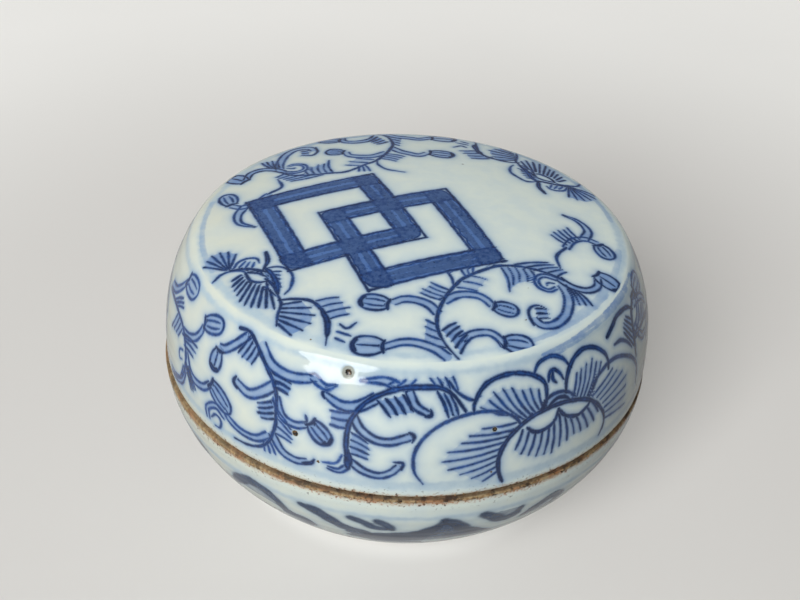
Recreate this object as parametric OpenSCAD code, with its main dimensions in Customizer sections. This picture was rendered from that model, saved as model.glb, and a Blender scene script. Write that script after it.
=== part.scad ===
// Round porcelain box for red seal paste. A footed bowl carries a raised lip,
// a domed lid drops over the lip and rests on the bowl's ledge, and the cake
// of paste fills the bowl's floor.
// Origin: centre of the foot ring's underside. +Z is up, along the box's axis.

/* [Box] */
// Widest diameter, at the ledge where the lid meets the bowl
box_d = 87; // [70:0.5:120]
// Height of the ledge above the table
base_h = 27; // [22:0.5:45]

/* [Lid] */
// How far the lid's wall stands in from the ledge's edge
lid_setback = 0.3; // [0:0.1:1]
// Height of the shoulder ring above the lid's edge
shoulder_h = 21.8; // [16:0.2:32]
// How far the lid's wall draws in from its edge to the shoulder ring
shoulder_in = 5.8; // [3:0.1:9]
// Roundness of the lid's wall, where a higher number bends it nearer the shoulder
lid_bend = 2.7; // [2:0.1:3.5]
// Rise of the top panel from the shoulder ring to its centre
crown_h = 3.6; // [1:0.1:7]
// Height of the band that the raised rib below the shoulder ring covers
rib_band = 2.1; // [1:0.1:4]
// How far the rib stands out
rib_out = 0.3; // [0.1:0.05:0.8]
// Thickness of the lid's wall
lid_wall = 3.2; // [2:0.1:4]
// Thickness of the lid's top panel
crown_wall = 3; // [2:0.1:5]

/* [Bowl] */
// How far the bowl draws in from the ledge to the foot
bowl_in = 14.9; // [8:0.1:17]
// Roundness of the bowl
bowl_bend = 2; // [1.6:0.1:2.6]
// Thickness of the bowl's wall
bowl_wall = 3.5; // [2.5:0.1:4.5]
// Thickness of the bowl's floor
floor_t = 3.8; // [2.5:0.1:6]

/* [Locating lip] */
// Height of the lip above the ledge
lip_h = 3; // [1.5:0.1:5]
// Thickness of the lip
lip_wall = 2.2; // [1.5:0.1:3]
// Room all round between the lip and the inside of the lid
lip_gap = 0.6; // [0.3:0.05:1.2]

/* [Foot ring] */
// Height of the foot ring
foot_h = 2; // [1:0.1:4]
// How far the foot ring's outside stands in from the bottom of the bowl
foot_in = 2.1; // [0.5:0.1:4]
// Width of the foot ring
foot_w = 3.5; // [2:0.1:6]
// Extra depth of the recess inside the foot ring
recess_extra = 0.2; // [0:0.1:1]

/* [Seal paste] */
// Depth of the paste where it meets the bowl's wall
paste_edge_h = 9; // [3:0.5:11]
// Rise of the paste's worn, rounded top above its edge
paste_rise = 3; // [1:0.1:5]
// Room between the paste and the bowl's wall
paste_gap = 0.3; // [0.3:0.1:1]

/* [Hidden] */
$fn = 120;
PORCELAIN = [0.86, 0.9, 0.9];
VERMILION = [0.72, 0.1, 0.07];

// Number of straight steps in each curved outline
CURVE_STEPS = 24;
// How far a cutting outline runs past the face that it opens
PAST = 1;
// How far the lip's outline reaches down into the bowl's wall, to be one with it
LIP_ROOT = 1;

box_r = box_d / 2;
lid_r = box_r - lid_setback;
shoulder_r = lid_r - shoulder_in;
lid_h = shoulder_h + crown_h;
lid_bore_r = lid_r - lid_wall;
lip_r = lid_bore_r - lip_gap;
neck_r = lip_r - lip_wall;
bowl_h = base_h - foot_h;
foot_r = box_r - bowl_in - foot_in;
recess_h = foot_h + recess_extra;
floor_z = recess_h + floor_t;

// Radius of the lid's wall at height z above its edge, and its change with z
function lid_wall_r(z) = lid_r - shoulder_in * pow(z / shoulder_h, lid_bend);
function lid_wall_slope(z) = -shoulder_in * lid_bend / shoulder_h * pow(z / shoulder_h, lid_bend - 1);

// Radius of the bowl at height z above the table, and its change with z
function bowl_r(z) = box_r - bowl_in * pow((base_h - z) / bowl_h, bowl_bend);
function bowl_slope(z) = bowl_in * bowl_bend / bowl_h * pow((base_h - z) / bowl_h, bowl_bend - 1);

// A point that lies a depth t inside a wall of radius r and given slope at height z
function inside(r, slope, z, t) = [r, z] - t * [1, -slope] / norm([1, slope]);

// Values in even steps from first to last
function steps(first, last) = [for (i = [0:CURVE_STEPS]) first + (last - first) * i / CURVE_STEPS];

// The rib's stand-out at height z, a single smooth swell that ends at the shoulder ring
function rib(z) = rib_out * pow(sin(180 * (shoulder_h - z) / rib_band), 2);

// Height of the top panel's outside above the lid's edge at radius r
function panel_z(r) = lid_h - crown_h * pow(r / shoulder_r, 2);

module lid_outline() {
    wall = [for (z = steps(0, shoulder_h - rib_band)) [lid_wall_r(z), z]];
    ribbed = [for (z = steps(shoulder_h - rib_band, shoulder_h)) [lid_wall_r(z) + rib(z), z]];
    panel = [for (r = steps(shoulder_r, 0)) [r, panel_z(r)]];
    polygon(concat([[0, 0]], wall, ribbed, panel));
}

module lid_hollow_outline() {
    wall = [for (z = steps(0, shoulder_h)) inside(lid_wall_r(z), lid_wall_slope(z), z, lid_wall)];
    ceiling = [for (r = steps(0, lid_r)) [r, panel_z(r) - crown_wall]];
    intersection() {
        polygon(concat([[0, lid_h], [0, -PAST], [lid_bore_r, -PAST]], wall, [[wall[CURVE_STEPS][0], lid_h]]));
        polygon(concat([[lid_r, -PAST], [0, -PAST]], ceiling));
    }
}

module base_outline() {
    bowl = [for (z = steps(foot_h, base_h)) [bowl_r(z), z]];
    polygon(concat([[0, 0], [foot_r, 0], [foot_r, foot_h]], bowl, [[0, base_h]]));
    translate([0, base_h - LIP_ROOT])
        square([lip_r, LIP_ROOT + lip_h]);
}

// The hollow of the bowl, kept a depth t inside its wall and a distance gap inside its neck
module bowl_hollow_outline(t, gap) {
    wall = [for (z = steps(foot_h, base_h)) inside(bowl_r(z), bowl_slope(z), z, t)];
    intersection() {
        polygon(concat([[0, 0]], wall, [[box_r, base_h + lip_h + PAST], [0, base_h + lip_h + PAST]]));
        translate([0, floor_z])
            square([neck_r - gap, base_h]);
    }
}

module lid() {
    color(PORCELAIN)
        translate([0, 0, base_h])
            rotate_extrude()
                difference() {
                    lid_outline();
                    lid_hollow_outline();
                }
}

module base() {
    color(PORCELAIN)
        rotate_extrude()
            difference() {
                base_outline();
                bowl_hollow_outline(bowl_wall, 0);
                square([foot_r - foot_w, recess_h]);
            }
}

module seal_paste() {
    edge_z = floor_z + paste_edge_h;
    top = [for (r = steps(neck_r, 0)) [r, edge_z + paste_rise * (1 - pow(r / neck_r, 2))]];
    color(VERMILION)
        rotate_extrude()
            intersection() {
                bowl_hollow_outline(bowl_wall + paste_gap, paste_gap);
                polygon(concat([[0, 0], [neck_r, 0]], top));
            }
}

lid();
base();
seal_paste();
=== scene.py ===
"""Builds the looks of a round blue-and-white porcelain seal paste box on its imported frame."""

import math

import bmesh
import bpy
import numpy as np
from bpy.props import FloatProperty, FloatVectorProperty, PointerProperty
from mathutils import Matrix, Vector, noise


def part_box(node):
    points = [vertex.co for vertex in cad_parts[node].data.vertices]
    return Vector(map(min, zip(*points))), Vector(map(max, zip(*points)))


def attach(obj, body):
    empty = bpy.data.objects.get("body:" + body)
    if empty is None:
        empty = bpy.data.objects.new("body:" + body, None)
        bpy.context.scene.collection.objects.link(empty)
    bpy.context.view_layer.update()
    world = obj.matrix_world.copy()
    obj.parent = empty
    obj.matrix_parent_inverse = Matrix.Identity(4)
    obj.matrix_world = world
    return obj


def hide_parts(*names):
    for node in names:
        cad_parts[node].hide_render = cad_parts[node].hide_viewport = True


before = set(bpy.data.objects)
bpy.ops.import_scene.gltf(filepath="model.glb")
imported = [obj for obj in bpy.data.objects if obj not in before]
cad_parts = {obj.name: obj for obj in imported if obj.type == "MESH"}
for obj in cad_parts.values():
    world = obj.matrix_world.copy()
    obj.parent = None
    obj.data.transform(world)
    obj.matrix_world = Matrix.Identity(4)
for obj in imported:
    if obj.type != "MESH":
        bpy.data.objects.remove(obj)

bl_info = {
    "name": "Seal Paste Box",
    "version": (1, 0, 0),
    "blender": (4, 5, 0),
    "location": "View3D > Sidebar > Seal Box",
    "description": "Builds a lidded porcelain seal paste box with brushed cobalt scrolls",
    "category": "Add Mesh",
}

# Drawn work and outlines are in millimetres, Blender is in metres
MM = 0.001

# Sizes that the frame gives: the ledge where the lid rests, both outer radii, and the heights of the rest
LID_LOW, LID_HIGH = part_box("lid")
_, BASE_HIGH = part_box("base")
PASTE_LOW, PASTE_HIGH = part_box("seal_paste")
RIM_Z = LID_LOW.z / MM
LID_R = LID_HIGH.x / MM
BOX_R = BASE_HIGH.x / MM
LID_H = (LID_HIGH.z - LID_LOW.z) / MM
LIP_TOP = BASE_HIGH.z / MM
PASTE_FLOOR = PASTE_LOW.z / MM
PASTE_TOP = PASTE_HIGH.z / MM


def srgb(red, green, blue):
    """A screen colour from 0 to 255 as the linear colour that Blender's sockets take."""
    shares = (channel / 255 for channel in (red, green, blue))
    return tuple(s / 12.92 if s <= 0.04045 else ((s + 0.055) / 1.055) ** 2.4 for s in shares)


def colour(name, description, default):
    """A colour that a user may change."""
    return FloatVectorProperty(
        name=name, description=description, default=default, subtype="COLOR", size=3, min=0, max=1
    )


def length(name, description, millimetres, low=0.0, high=100.0):
    """A length that a user may change, kept in metres."""
    return FloatProperty(
        name=name, description=description, default=millimetres * MM,
        min=low * MM, max=high * MM, subtype="DISTANCE", unit="LENGTH", precision=5,
    )


def rotation(name, description, degrees):
    """A bearing or a tilt that a user may change, kept in radians."""
    return FloatProperty(
        name=name, description=description, default=math.radians(degrees), subtype="ANGLE", unit="ROTATION"
    )


def amount(name, description, default, low=0.0, high=1000.0):
    """A plain number that a user may change."""
    return FloatProperty(name=name, description=description, default=default, min=low, max=high)


class SealBoxShape(bpy.types.PropertyGroup):
    """Sizes of the turned porcelain that the frame's boxes don't give."""

    shoulder_height: length("Shoulder height", "Height of the shoulder ring above the lid's edge", 21.8)
    shoulder_inset: length("Shoulder inset", "How far the lid's wall draws in to the shoulder", 5.8)
    lid_bend: amount("Lid bend", "Roundness of the lid's wall", 2.7, 2, 3.5)
    bead_band: length("Bead band", "Height that the bead below the shoulder covers", 2.1)
    bead_out: length("Bead stand-out", "How far the bead stands out", 0.06)
    groove_depth: length("Groove depth", "Depth of the groove inside the shoulder ring", 0.16)
    lid_wall: length("Lid wall", "Thickness of the lid's wall", 3.2)
    crown_wall: length("Crown wall", "Thickness of the lid's top", 3.0)
    bowl_inset: length("Bowl inset", "How far the bowl draws in from the ledge to the foot", 14.9)
    bowl_bend: amount("Bowl bend", "Roundness of the bowl", 2.0, 1.6, 2.6)
    bowl_wall: length("Bowl wall", "Thickness of the bowl's wall", 3.5)
    lip_wall: length("Lip wall", "Thickness of the locating lip", 2.2)
    lip_gap: length("Lip gap", "Room between the lip and the lid's bore", 0.6)
    foot_height: length("Foot height", "Height of the foot ring", 2.0)
    foot_inset: length("Foot inset", "How far the foot ring stands in from the bowl", 2.1)
    foot_width: length("Foot width", "Width of the foot ring", 3.5)
    recess_extra: length("Recess depth", "Extra depth of the recess inside the foot", 0.2)
    softness: length("Softness", "How far glaze rounds every corner", 0.42)
    shoulder_roll: length("Shoulder roll", "How far the top panel rolls over into the wall", 0.85)
    wander: length("Throwing wander", "How far the turned walls stray from a true circle", 0.12)
    paste_edge_drop: length("Paste edge drop", "How far the paste's edge lies below its top", 3.0)
    paste_gap: length("Paste gap", "Room between the paste and the bowl's wall", 0.3)


class SealBoxColours(bpy.types.PropertyGroup):
    """Colours of the glaze, the cobalt, the bare clay and the paste."""

    glaze: colour("Glaze", "Porcelain glaze where it is thin", srgb(208, 218, 210))
    glaze_cool: colour("Cool glaze", "Porcelain glaze where it lies thick", srgb(190, 206, 210))
    # Used in patches towards the left, partly as painted warm light from that side
    glaze_warm: colour("Warm glaze", "Porcelain glaze where the kiln yellowed it", srgb(203, 201, 179))
    cobalt: colour("Cobalt", "A brush line at its usual strength", srgb(24, 68, 136))
    cobalt_dark: colour("Dark cobalt", "A brush line that is heavy with pigment", srgb(3, 23, 65))
    cobalt_deep: colour("Deep cobalt", "Where two strokes cross", srgb(6, 14, 42))
    wash: colour("Wash", "Thin cobalt laid between the lines", srgb(92, 126, 176))
    # The bowl's cobalt: the lid's made greyer and darker as painted shade, because the bowl lies in shade
    shaded: colour("Dull cobalt", "The bowl's brush strokes, greyer than the lid's", srgb(46, 68, 99))
    shaded_dark: colour("Dark dull cobalt", "The bowl's brush strokes where they are heavy", srgb(23, 44, 74))
    shaded_wash: colour("Dull wash", "Thin greyish cobalt on the bowl", srgb(92, 108, 130))
    haze: colour("Haze", "Cobalt that has bled into the glaze", srgb(162, 184, 198))
    clay: colour("Bare clay", "The unglazed rim", srgb(134, 106, 72))
    # Also serves as the painted shadow in the seam between lid and bowl, and the painted shade on the right
    clay_dark: colour("Burnt clay", "The darkest parts of the unglazed rim", srgb(40, 28, 20))
    clay_light: colour("Pale clay", "The paler parts of the unglazed rim", srgb(180, 160, 122))
    # The pit ring is painted shade where a crater's slope loses the highlight; the pit heart is burnt clay
    # darkened further as painted shade in the hole
    pit_ring_shade: colour("Pit ring", "Greyed glaze round a pinhole", srgb(152, 154, 144))
    pit_heart_and_shade: colour("Pit heart", "Burnt clay at the bottom of a pinhole", srgb(14, 11, 8))
    flash: colour("Kiln flash", "Orange blush beside the bare clay", srgb(164, 112, 76))
    paste: colour("Seal paste", "Vermilion paste", srgb(196, 36, 24))
    # Dark paste in random clumps, and also painted shade in the paste's folds
    paste_dark_and_fold_shade: colour("Dark paste", "Paste in its folds, where oil gathers", srgb(120, 12, 12))
    paste_light: colour("Dry paste", "Paste on its worn fibres", srgb(226, 78, 50))


class SealBoxStage(bpy.types.PropertyGroup):
    """The camera, the table top, the room and the lamps."""

    camera_distance: length("Camera distance", "From the middle of the rim to the lens", 203.6, 10, 2000)
    camera_elevation: rotation("Camera elevation", "How far the lens looks down at the box", 36.6)
    camera_roll: rotation("Camera roll", "Turn of the frame about the lens axis", -3.22)
    lens: FloatProperty(
        name="Lens", description="Focal length", default=49.5, subtype="DISTANCE_CAMERA", unit="CAMERA"
    )
    table_reach: length("Table reach", "From the box's axis to the edge of the table top", 3000, 500, 10000)
    floor: colour("Floor", "Pale table top", srgb(240, 239, 235))
    # Painted shade on the table top in front of the box and beside it
    floor_painted_shade: colour("Dim floor", "Table top in front of the box and beside it", srgb(210, 208, 204))
    bounce: colour("Floor bounce", "What the table top throws back at the box", srgb(100, 100, 100))
    sky: colour("Sky", "Soft light from all round", srgb(250, 250, 250))
    sky_strength: amount("Sky strength", "Light from all round", 0.04)
    sky_gloss: amount("Sky gloss", "Brightness of the room as the glaze mirrors it", 0.26)
    window_power: amount("Window power", "Power of the window that the glaze mirrors", 6.2)
    window_turn: rotation("Window direction", "Bearing of the window, from +X towards +Y", -121)
    window_height: rotation("Window height", "How high the window stands", 33)
    window_distance: length("Window distance", "From the box to the window", 900, 100, 10000)
    window_width: length("Window width", "Width of the window", 540, 10, 5000)
    window_rise: length("Window rise", "Extent of the window from its foot to its top", 660, 10, 5000)
    key_power: amount("Key power", "Power of the broad front lamp", 50.0)
    key_turn: rotation("Key direction", "Bearing of the broad front lamp", -115)
    key_height: rotation("Key height", "How high the broad front lamp stands", 30)
    back_power: amount("Back power", "Power of the lamp behind", 21.5)
    back_turn: rotation("Back direction", "Bearing of the lamp behind", 96)
    back_height: rotation("Back height", "How high the lamp behind stands", 55)
    lamp_distance: length("Lamp distance", "From the box to the front and the back lamp", 2000, 100, 10000)
    lamp_size: length("Lamp size", "Side of the front and the back lamp", 1150, 10, 5000)


# Curves and outlines

# Spacing of the points along a brush stroke, and along an outline while its corners are softened
CURVE_STEP = 0.3
FINE_STEP = 0.05


def travel_of(points):
    """Distance along a row of points to each of them."""
    hops = np.linalg.norm(np.diff(points, axis=0), axis=1)
    return np.concatenate([[0.0], np.cumsum(hops)])


def along(points, places):
    """Points at the given distances along a row of points."""
    travel = travel_of(points)
    return np.stack([np.interp(places, travel, points[:, k]) for k in range(points.shape[1])], 1)


def smooth_curve(points, step=CURVE_STEP):
    """A smooth curve through the points, in even steps."""
    way = np.asarray(points, float)
    if len(way) > 2:
        way = np.vstack([2 * way[0] - way[1], way, 2 * way[-1] - way[-2]])
        shares = np.linspace(0, 1, 12, endpoint=False)[:, None]
        parts = []
        for p0, p1, p2, p3 in zip(way[:-3], way[1:-2], way[2:-1], way[3:]):
            bend = (2 * p0 - 5 * p1 + 4 * p2 - p3) * shares**2
            twist = (3 * p1 - p0 - 3 * p2 + p3) * shares**3
            parts.append(0.5 * (2 * p1 + (p2 - p0) * shares + bend + twist))
        way = np.vstack([*parts, way[-2][None]])
    total = travel_of(way)[-1]
    return along(way, np.linspace(0, total, max(3, int(total / step) + 1)))


def side_of(curve):
    """Unit vectors square to a curve, to its left."""
    ahead = np.gradient(curve, axis=0)
    ahead /= np.linalg.norm(ahead, axis=1, keepdims=True) + 1e-9
    return np.stack([-ahead[:, 1], ahead[:, 0]], 1)


def ease(low, high, value):
    """0 at low, 1 at high, with a soft start and stop."""
    share = np.clip((value - low) / (high - low), 0, 1)
    return share * share * (3 - 2 * share)


def softened(values, spread):
    """A row of values smoothed over a spread of fine steps, with its two ends kept in place."""
    reach = int(4 * spread)
    kernel = np.exp(-0.5 * (np.arange(-reach, reach + 1) / spread) ** 2)
    head = 2 * values[0] - values[reach:0:-1]
    tail = 2 * values[-1] - values[-2:-reach - 2:-1]
    return np.convolve(np.concatenate([head, values, tail]), kernel / kernel.sum(), "valid")


# Brushwork

# Distance that stands for no paint nearby, and how far beyond a stroke its distance is kept
FAR = 4.0
REACH = 2.2

# Usual width of a line's brush, and the share of a brush's width that its pigment covers
LINE = 0.62
PIGMENT = 0.74

# Strokes that crowd each other over more than this distance are kept in sets of their own
SET_NAMES = ("a", "b", "c")
CLEAR = 1.1

# What the brushwork's shader takes for each set, with the mesh field that holds it: distance to the nearest
# line's edge, signed distance to its middle, and its half width
SET_INPUTS = {
    f"{part} {name.upper()}": f"{part.lower()}_{name}"
    for name in SET_NAMES for part in ("Line", "Across", "Half")
}


class Drawing:
    """Brush strokes and washes on an unrolled surface, in millimetres."""

    def __init__(self, seed, pigment=PIGMENT):
        self.pigment = pigment
        self.lines = []
        self.washes = []
        self.random = np.random.default_rng(seed)
        self.place((1, 0), (0, 1), (0, 0))

    def place(self, across, up, origin, jitter=0.0):
        """Sets where a motif goes: what its two axes and its origin are on the surface."""
        self.axes = np.array([across, up], float)
        self.origin = np.array(origin, float)
        self.jitter = jitter

    def spots(self, points):
        """A motif's own points on the surface."""
        placed = np.asarray(points, float) @ self.axes + self.origin
        return placed + self.random.normal(0, 1, placed.shape) * self.jitter

    def pull(self, curve, width, load, start, end):
        """Adds one stroke along a curve that is already on the surface."""
        share = np.linspace(0, 1, len(curve))
        phase = self.random.uniform(0, 6.28, 2)
        length_mm = travel_of(curve)[-1]
        sway = 0.07 * np.sin(2.1 * length_mm * share + phase[0]) + 0.05 * np.sin(5 * share + phase[1])
        swell = (start + (1 - start) * ease(0, 0.2, share)) * (end + (1 - end) * ease(1, 0.7, share))
        half = width / 2 * self.pigment * swell * (1 + sway)
        pooled = 0.25 * ease(0.82, 0.97, share)
        ink = np.clip(load * (1.06 - 0.2 * share + 0.5 * sway + pooled), 0, 1)
        self.lines.append((curve, half, ink))

    def line(self, points, width=LINE, load=0.6, start=0.75, end=0.5):
        """A single stroke. start and end are the shares of its width left at its ends."""
        self.pull(smooth_curve(self.spots(points)), width, load, start, end)

    def spread(self, curve, half, load, closed=False):
        """Adds a wash of some half width along a curve, or inside the curve when it is closed."""
        self.washes.append((curve, np.full(len(curve), half), np.full(len(curve), load), closed))

    def tint(self, points, width, load):
        """A wash that follows a stroke."""
        self.spread(smooth_curve(self.spots(points)), width / 2, load)

    def patch(self, points, load):
        """A wash that fills a smooth outline."""
        corners = self.spots(points)
        self.spread(smooth_curve(np.vstack([corners, corners[:1]])), 0.0, load, closed=True)

    def ribbon(self, points, width, tip, load=0.6, wash=0.75):
        """A stalk of two lines with a wash between them. tip is the share of its width left at its end."""
        spine = smooth_curve(self.spots(points))
        share = np.linspace(0, 1, len(spine))
        half = width / 2 * (1 + (tip - 1) * share**1.6)
        side = side_of(spine) * half[:, None]
        self.pull(spine + side, LINE, load, 0.8, 0.7)
        self.pull(spine - side, LINE, load * 0.95, 0.8, 0.7)
        self.spread(spine, half * 0.95, wash)

    def horn(self, points, width, load):
        """A leaf of two lines that meet at its tip."""
        self.ribbon(points, width, 0.12, load)

    def bud(self, base, tip, width=3.4, load=0.65, wash=0.8, strokes=2, dark=0.0):
        """A closed bud: a barrel outline, a collar at its base and strokes inside it. dark is the width of
        the blob on its tip."""
        foot, head = self.spots([base, tip])
        axis = head - foot
        side = np.array([-axis[1], axis[0]]) / np.linalg.norm(axis) * width

        def inside(pairs):
            return np.array([foot + axis * a + side * b for a, b in pairs])

        outline = inside([(0.02, 0.3), (0.25, 0.46), (0.6, 0.5), (0.88, 0.36), (1, 0.0),
                          (0.88, -0.36), (0.6, -0.5), (0.25, -0.46), (0.02, -0.3)])
        collar = inside([(-0.02, 0.29), (0.03, 0), (-0.02, -0.29)])
        self.pull(smooth_curve(outline), LINE * 1.05, load, 0.9, 0.8)
        self.pull(collar, LINE * 1.5, min(1, load + 0.15), 0.9, 0.8)
        for k in range(strokes):
            place = (k + 0.5) / strokes - 0.5
            inner = inside([(0.16, place * 0.62), (0.5, place * 0.8), (0.8, place * 0.6)])
            self.pull(smooth_curve(inner), LINE * 0.8, load * 0.95, 0.8, 0.6)
        if dark:
            self.pull(smooth_curve(inside([(0.86, 0.3), (0.95, 0), (0.86, -0.3)])), dark, 1, 1, 1)
        self.spread(smooth_curve(np.vstack([outline, outline[:1]])), 0.0, wash, closed=True)

    def fan(self, starts, ends, count, width=LINE, load=0.55, wash=0.0, bow=0.0):
        """Strokes side by side, from places along one curve to places along another. bow bends them."""
        first = smooth_curve(self.spots(starts))
        last = smooth_curve(self.spots(ends))
        places = np.linspace(0, 1, count)
        froms = along(first, places * travel_of(first)[-1])
        tos = along(last, places * travel_of(last)[-1])
        for a, b in zip(froms, tos):
            span = b - a
            b = b + span * self.random.normal(0, 0.06)
            side = np.array([-span[1], span[0]]) * bow
            thick = width * self.random.uniform(0.88, 1.12)
            self.pull(smooth_curve([a, (a + b) / 2 + side, b]), thick, load, 0.85, 0.75)
        if wash:
            self.spread(np.vstack([first, last[::-1], first[:1]]), 0.0, wash, closed=True)

    def comb(self, first, last, count, width=LINE, load=0.6, wash=0.5):
        """Short, faintly bowed strokes side by side. first and last are each a start and an end."""
        self.fan([first[0], last[0]], [first[1], last[1]], count, width, load, wash, 0.04)


def distance_to(points, curve, half, values, closed):
    """For each point: distance to a stroke's edge, or to an outline's when closed, distance to its middle
    line with a sign for the side, its half width there and its value there."""
    start = curve[:-1]
    hop = curve[1:] - start
    size = (hop**2).sum(1) + 1e-12
    gap = points[:, None] - start[None]
    share = np.clip((gap * hop).sum(2) / size, 0, 1)
    middle = np.linalg.norm(gap - share[..., None] * hop, axis=2)
    reach = half[:-1] + share * (half[1:] - half[:-1])
    nearest = (middle - reach).argmin(1)
    rows = np.arange(len(points))
    side = np.sign(hop[nearest, 0] * gap[rows, nearest, 1] - hop[nearest, 1] * gap[rows, nearest, 0])
    value = values[nearest] + share[rows, nearest] * (values[nearest + 1] - values[nearest])
    middle, reach = middle[rows, nearest], reach[rows, nearest]
    found = middle - reach
    if closed:
        x, y = points[:, :1], points[:, 1:]
        x0, y0 = start[:, 0], start[:, 1]
        rises = (y0 > y) != (y0 + hop[:, 1] > y)
        crosses = x < x0 + (y - y0) * hop[:, 0] / np.where(hop[:, 1] == 0, 1e-12, hop[:, 1])
        inside = (rises & crosses).sum(1) % 2 == 1
        found = np.where(inside, -found, found)
    return found, middle * side, reach, value


def lay(strokes, points, wrap):
    """Lays strokes over points. Gives for each point the distance to the nearest edge and to the second,
    the nearest stroke's signed distance and half width, and how much paint from how much brush."""
    nearest, second, across = (np.full(len(points), FAR) for _ in range(3))
    half_width, paint, brush = (np.zeros(len(points)) for _ in range(3))
    for curve, half, values, closed in strokes:
        low = curve.min(0) - half.max() - REACH
        high = curve.max(0) + half.max() + REACH
        for turn in (-wrap, 0, wrap) if wrap else (0,):
            moved = points - (turn, 0)
            here = np.nonzero(((moved > low) & (moved < high)).all(1))[0]
            if not len(here):
                continue
            away, sided, reach, value = distance_to(moved[here], curve, half, values, closed)
            before = nearest[here]
            closer = here[away < before]
            across[closer] = sided[away < before]
            half_width[closer] = reach[away < before]
            nearest[here] = np.minimum(before, away)
            second[here] = np.minimum(second[here], np.maximum(before, away))
            share = np.exp(-np.clip(away, -0.2, 3) / 0.12) / (reach + 0.15)
            paint[here] += share * value
            brush[here] += share
    return nearest, second, across, half_width, paint, brush


def crowding(curve, half, other, other_half):
    """How much of a stroke's curve runs close to another stroke."""
    reach = CLEAR + half + other_half
    if (curve.min(0) > other.max(0) + reach).any() or (other.min(0) > curve.max(0) + reach).any():
        return 0.0
    gap = np.linalg.norm(curve[:, None] - other[None, ::2], axis=2).min(1) - half - other_half
    return np.clip(1 - gap / CLEAR, 0, 1.3).sum()


def sorted_apart(strokes):
    """Parts strokes into sets, so that few strokes of one set run side by side and each prints sharply."""
    sets = [[] for _ in SET_NAMES]
    for stroke in strokes:
        curve, half = stroke[0], stroke[1].max()
        crowds = [
            sum(crowding(curve, half, other[0], other[1].max()) for other in members) for members in sets
        ]
        sets[int(np.argmin(crowds))].append(stroke)
    return sets


def brushed(drawing, points, wrap=0.0):
    """The fields that the brushwork's shader reads, at points on the unrolled surface."""
    fields = {}
    edges, crossings, paint, brush = [], [], 0, 1e-9
    for name, strokes in zip(SET_NAMES, sorted_apart(drawing.lines)):
        laid = lay([(*stroke, False) for stroke in strokes], points, wrap)
        fields.update({"line_" + name: laid[0], "across_" + name: laid[2], "half_" + name: laid[3]})
        edges.append(laid[0])
        crossings.append(laid[1])
        paint = paint + laid[4]
        brush = brush + laid[5]
    crossings.append(np.sort(edges, axis=0)[1])
    fields["cross_mm"] = np.minimum.reduce(crossings)
    fields["ink"] = paint / brush
    wash, _, _, _, tint, brush = lay(drawing.washes, points, wrap)
    fields.update({"wash_mm": wash, "tint": tint / (brush + 1e-9)})
    return fields


# Motifs of the lid's wall. Their points are degrees round the wall and millimetres below the shoulder.

# The wall's mean radius, which turns degrees round it into millimetres
WALL_R = 41.5
DEGREE = WALL_R * math.pi / 180
WALL_WRAP = 360 * DEGREE


def on_wall(drawing, turn, jitter=0.0):
    """Places the next motifs on the lid's wall, turned round it by some degrees."""
    drawing.place((DEGREE, 0), (0, -1), (turn * DEGREE, 0), jitter)


def tall_scroll(d):
    """A heavy stem that rises from the lid's edge and runs along under the shoulder."""
    d.line([(-10, 17.2), (-10.7, 14), (-10.6, 11), (-9.8, 9), (-7.5, 6.5), (-4, 4.8), (0, 3.8), (4, 3.6),
            (8, 3.7), (11, 4.9), (13.5, 7.5)], 1.25, 0.85, 0.9, 0.55)
    d.line([(10, 2.8), (12, 4.6), (15, 5.9), (17, 5.4)], 0.7, 0.7)
    d.horn([(-1, 3.6), (-4, 2.9), (-9, 3.3)], 1.3, 0.5)
    d.ribbon([(-5.5, 5.7), (-9, 7.2), (-12.5, 7.5), (-16.2, 6.4)], 1.7, 0.5, 0.65)
    d.line([(-16.4, 6.9), (-16.9, 6.2), (-16.1, 5.8)], 0.8, 0.85)
    d.comb([(-10.5, 8.4), (-14.4, 8.6)], [(-10.7, 11), (-14.2, 10.9)], 3, 0.6, 0.6, 0.9)
    d.ribbon([(-9.6, 9), (-8, 10.8), (-5, 12.2), (-2, 12.4), (0.5, 11.8), (2, 11.4)], 1.15, 1.0, 0.75)
    d.line([(2, 10.7), (3, 11.2), (2.6, 12.2)], 0.7, 0.85)
    d.comb([(-9.7, 11.6), (-6.2, 13)], [(-9.8, 15.2), (-6.2, 15.8)], 4, 0.55, 0.65, 0.8)
    d.ribbon([(-9.8, 16.6), (-7, 18.1), (-4, 18.7), (-1.5, 18), (0, 16.8)], 1.1, 0.9, 0.7)
    d.line([(0.7, 17.2), (1, 16), (-0.8, 15.9)], 0.7, 0.75)
    d.line([(-11.4, 15.8), (-12.6, 17.5), (-15.5, 17.9)], 0.6, 0.4)
    d.ribbon([(-10.3, 17.8), (-12, 18.9), (-14.2, 18.7)], 0.9, 0.5, 0.6)
    d.line([(-10.1, 15.4), (-10.1, 17.8)], 1.7, 0.95, 0.8, 0.8)
    d.comb([(-5, 6), (-2.5, 8)], [(0.4, 4.9), (2.6, 7.4)], 4, 0.75, 0.85, 1.0)
    d.ribbon([(1.6, 4.3), (3, 6.4), (5.6, 7.6)], 1.2, 0.7, 0.75)
    d.line([(5.1, 8), (6.3, 7.9), (6.2, 7)], 0.8, 0.9)
    d.comb([(6, 2.3), (7.2, 3.5)], [(11, 2.2), (12, 4.4)], 4, 0.5, 0.6, 0.6)
    d.comb([(7.6, 4.3), (9.8, 8.1)], [(10.4, 4.9), (12, 8)], 3, 0.65, 0.75, 0.8)
    d.comb([(-1.5, 2.6), (-3.5, 3.6)], [(2.8, 2.5), (1.4, 3.5)], 3, 0.5, 0.45, 0.6)


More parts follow.
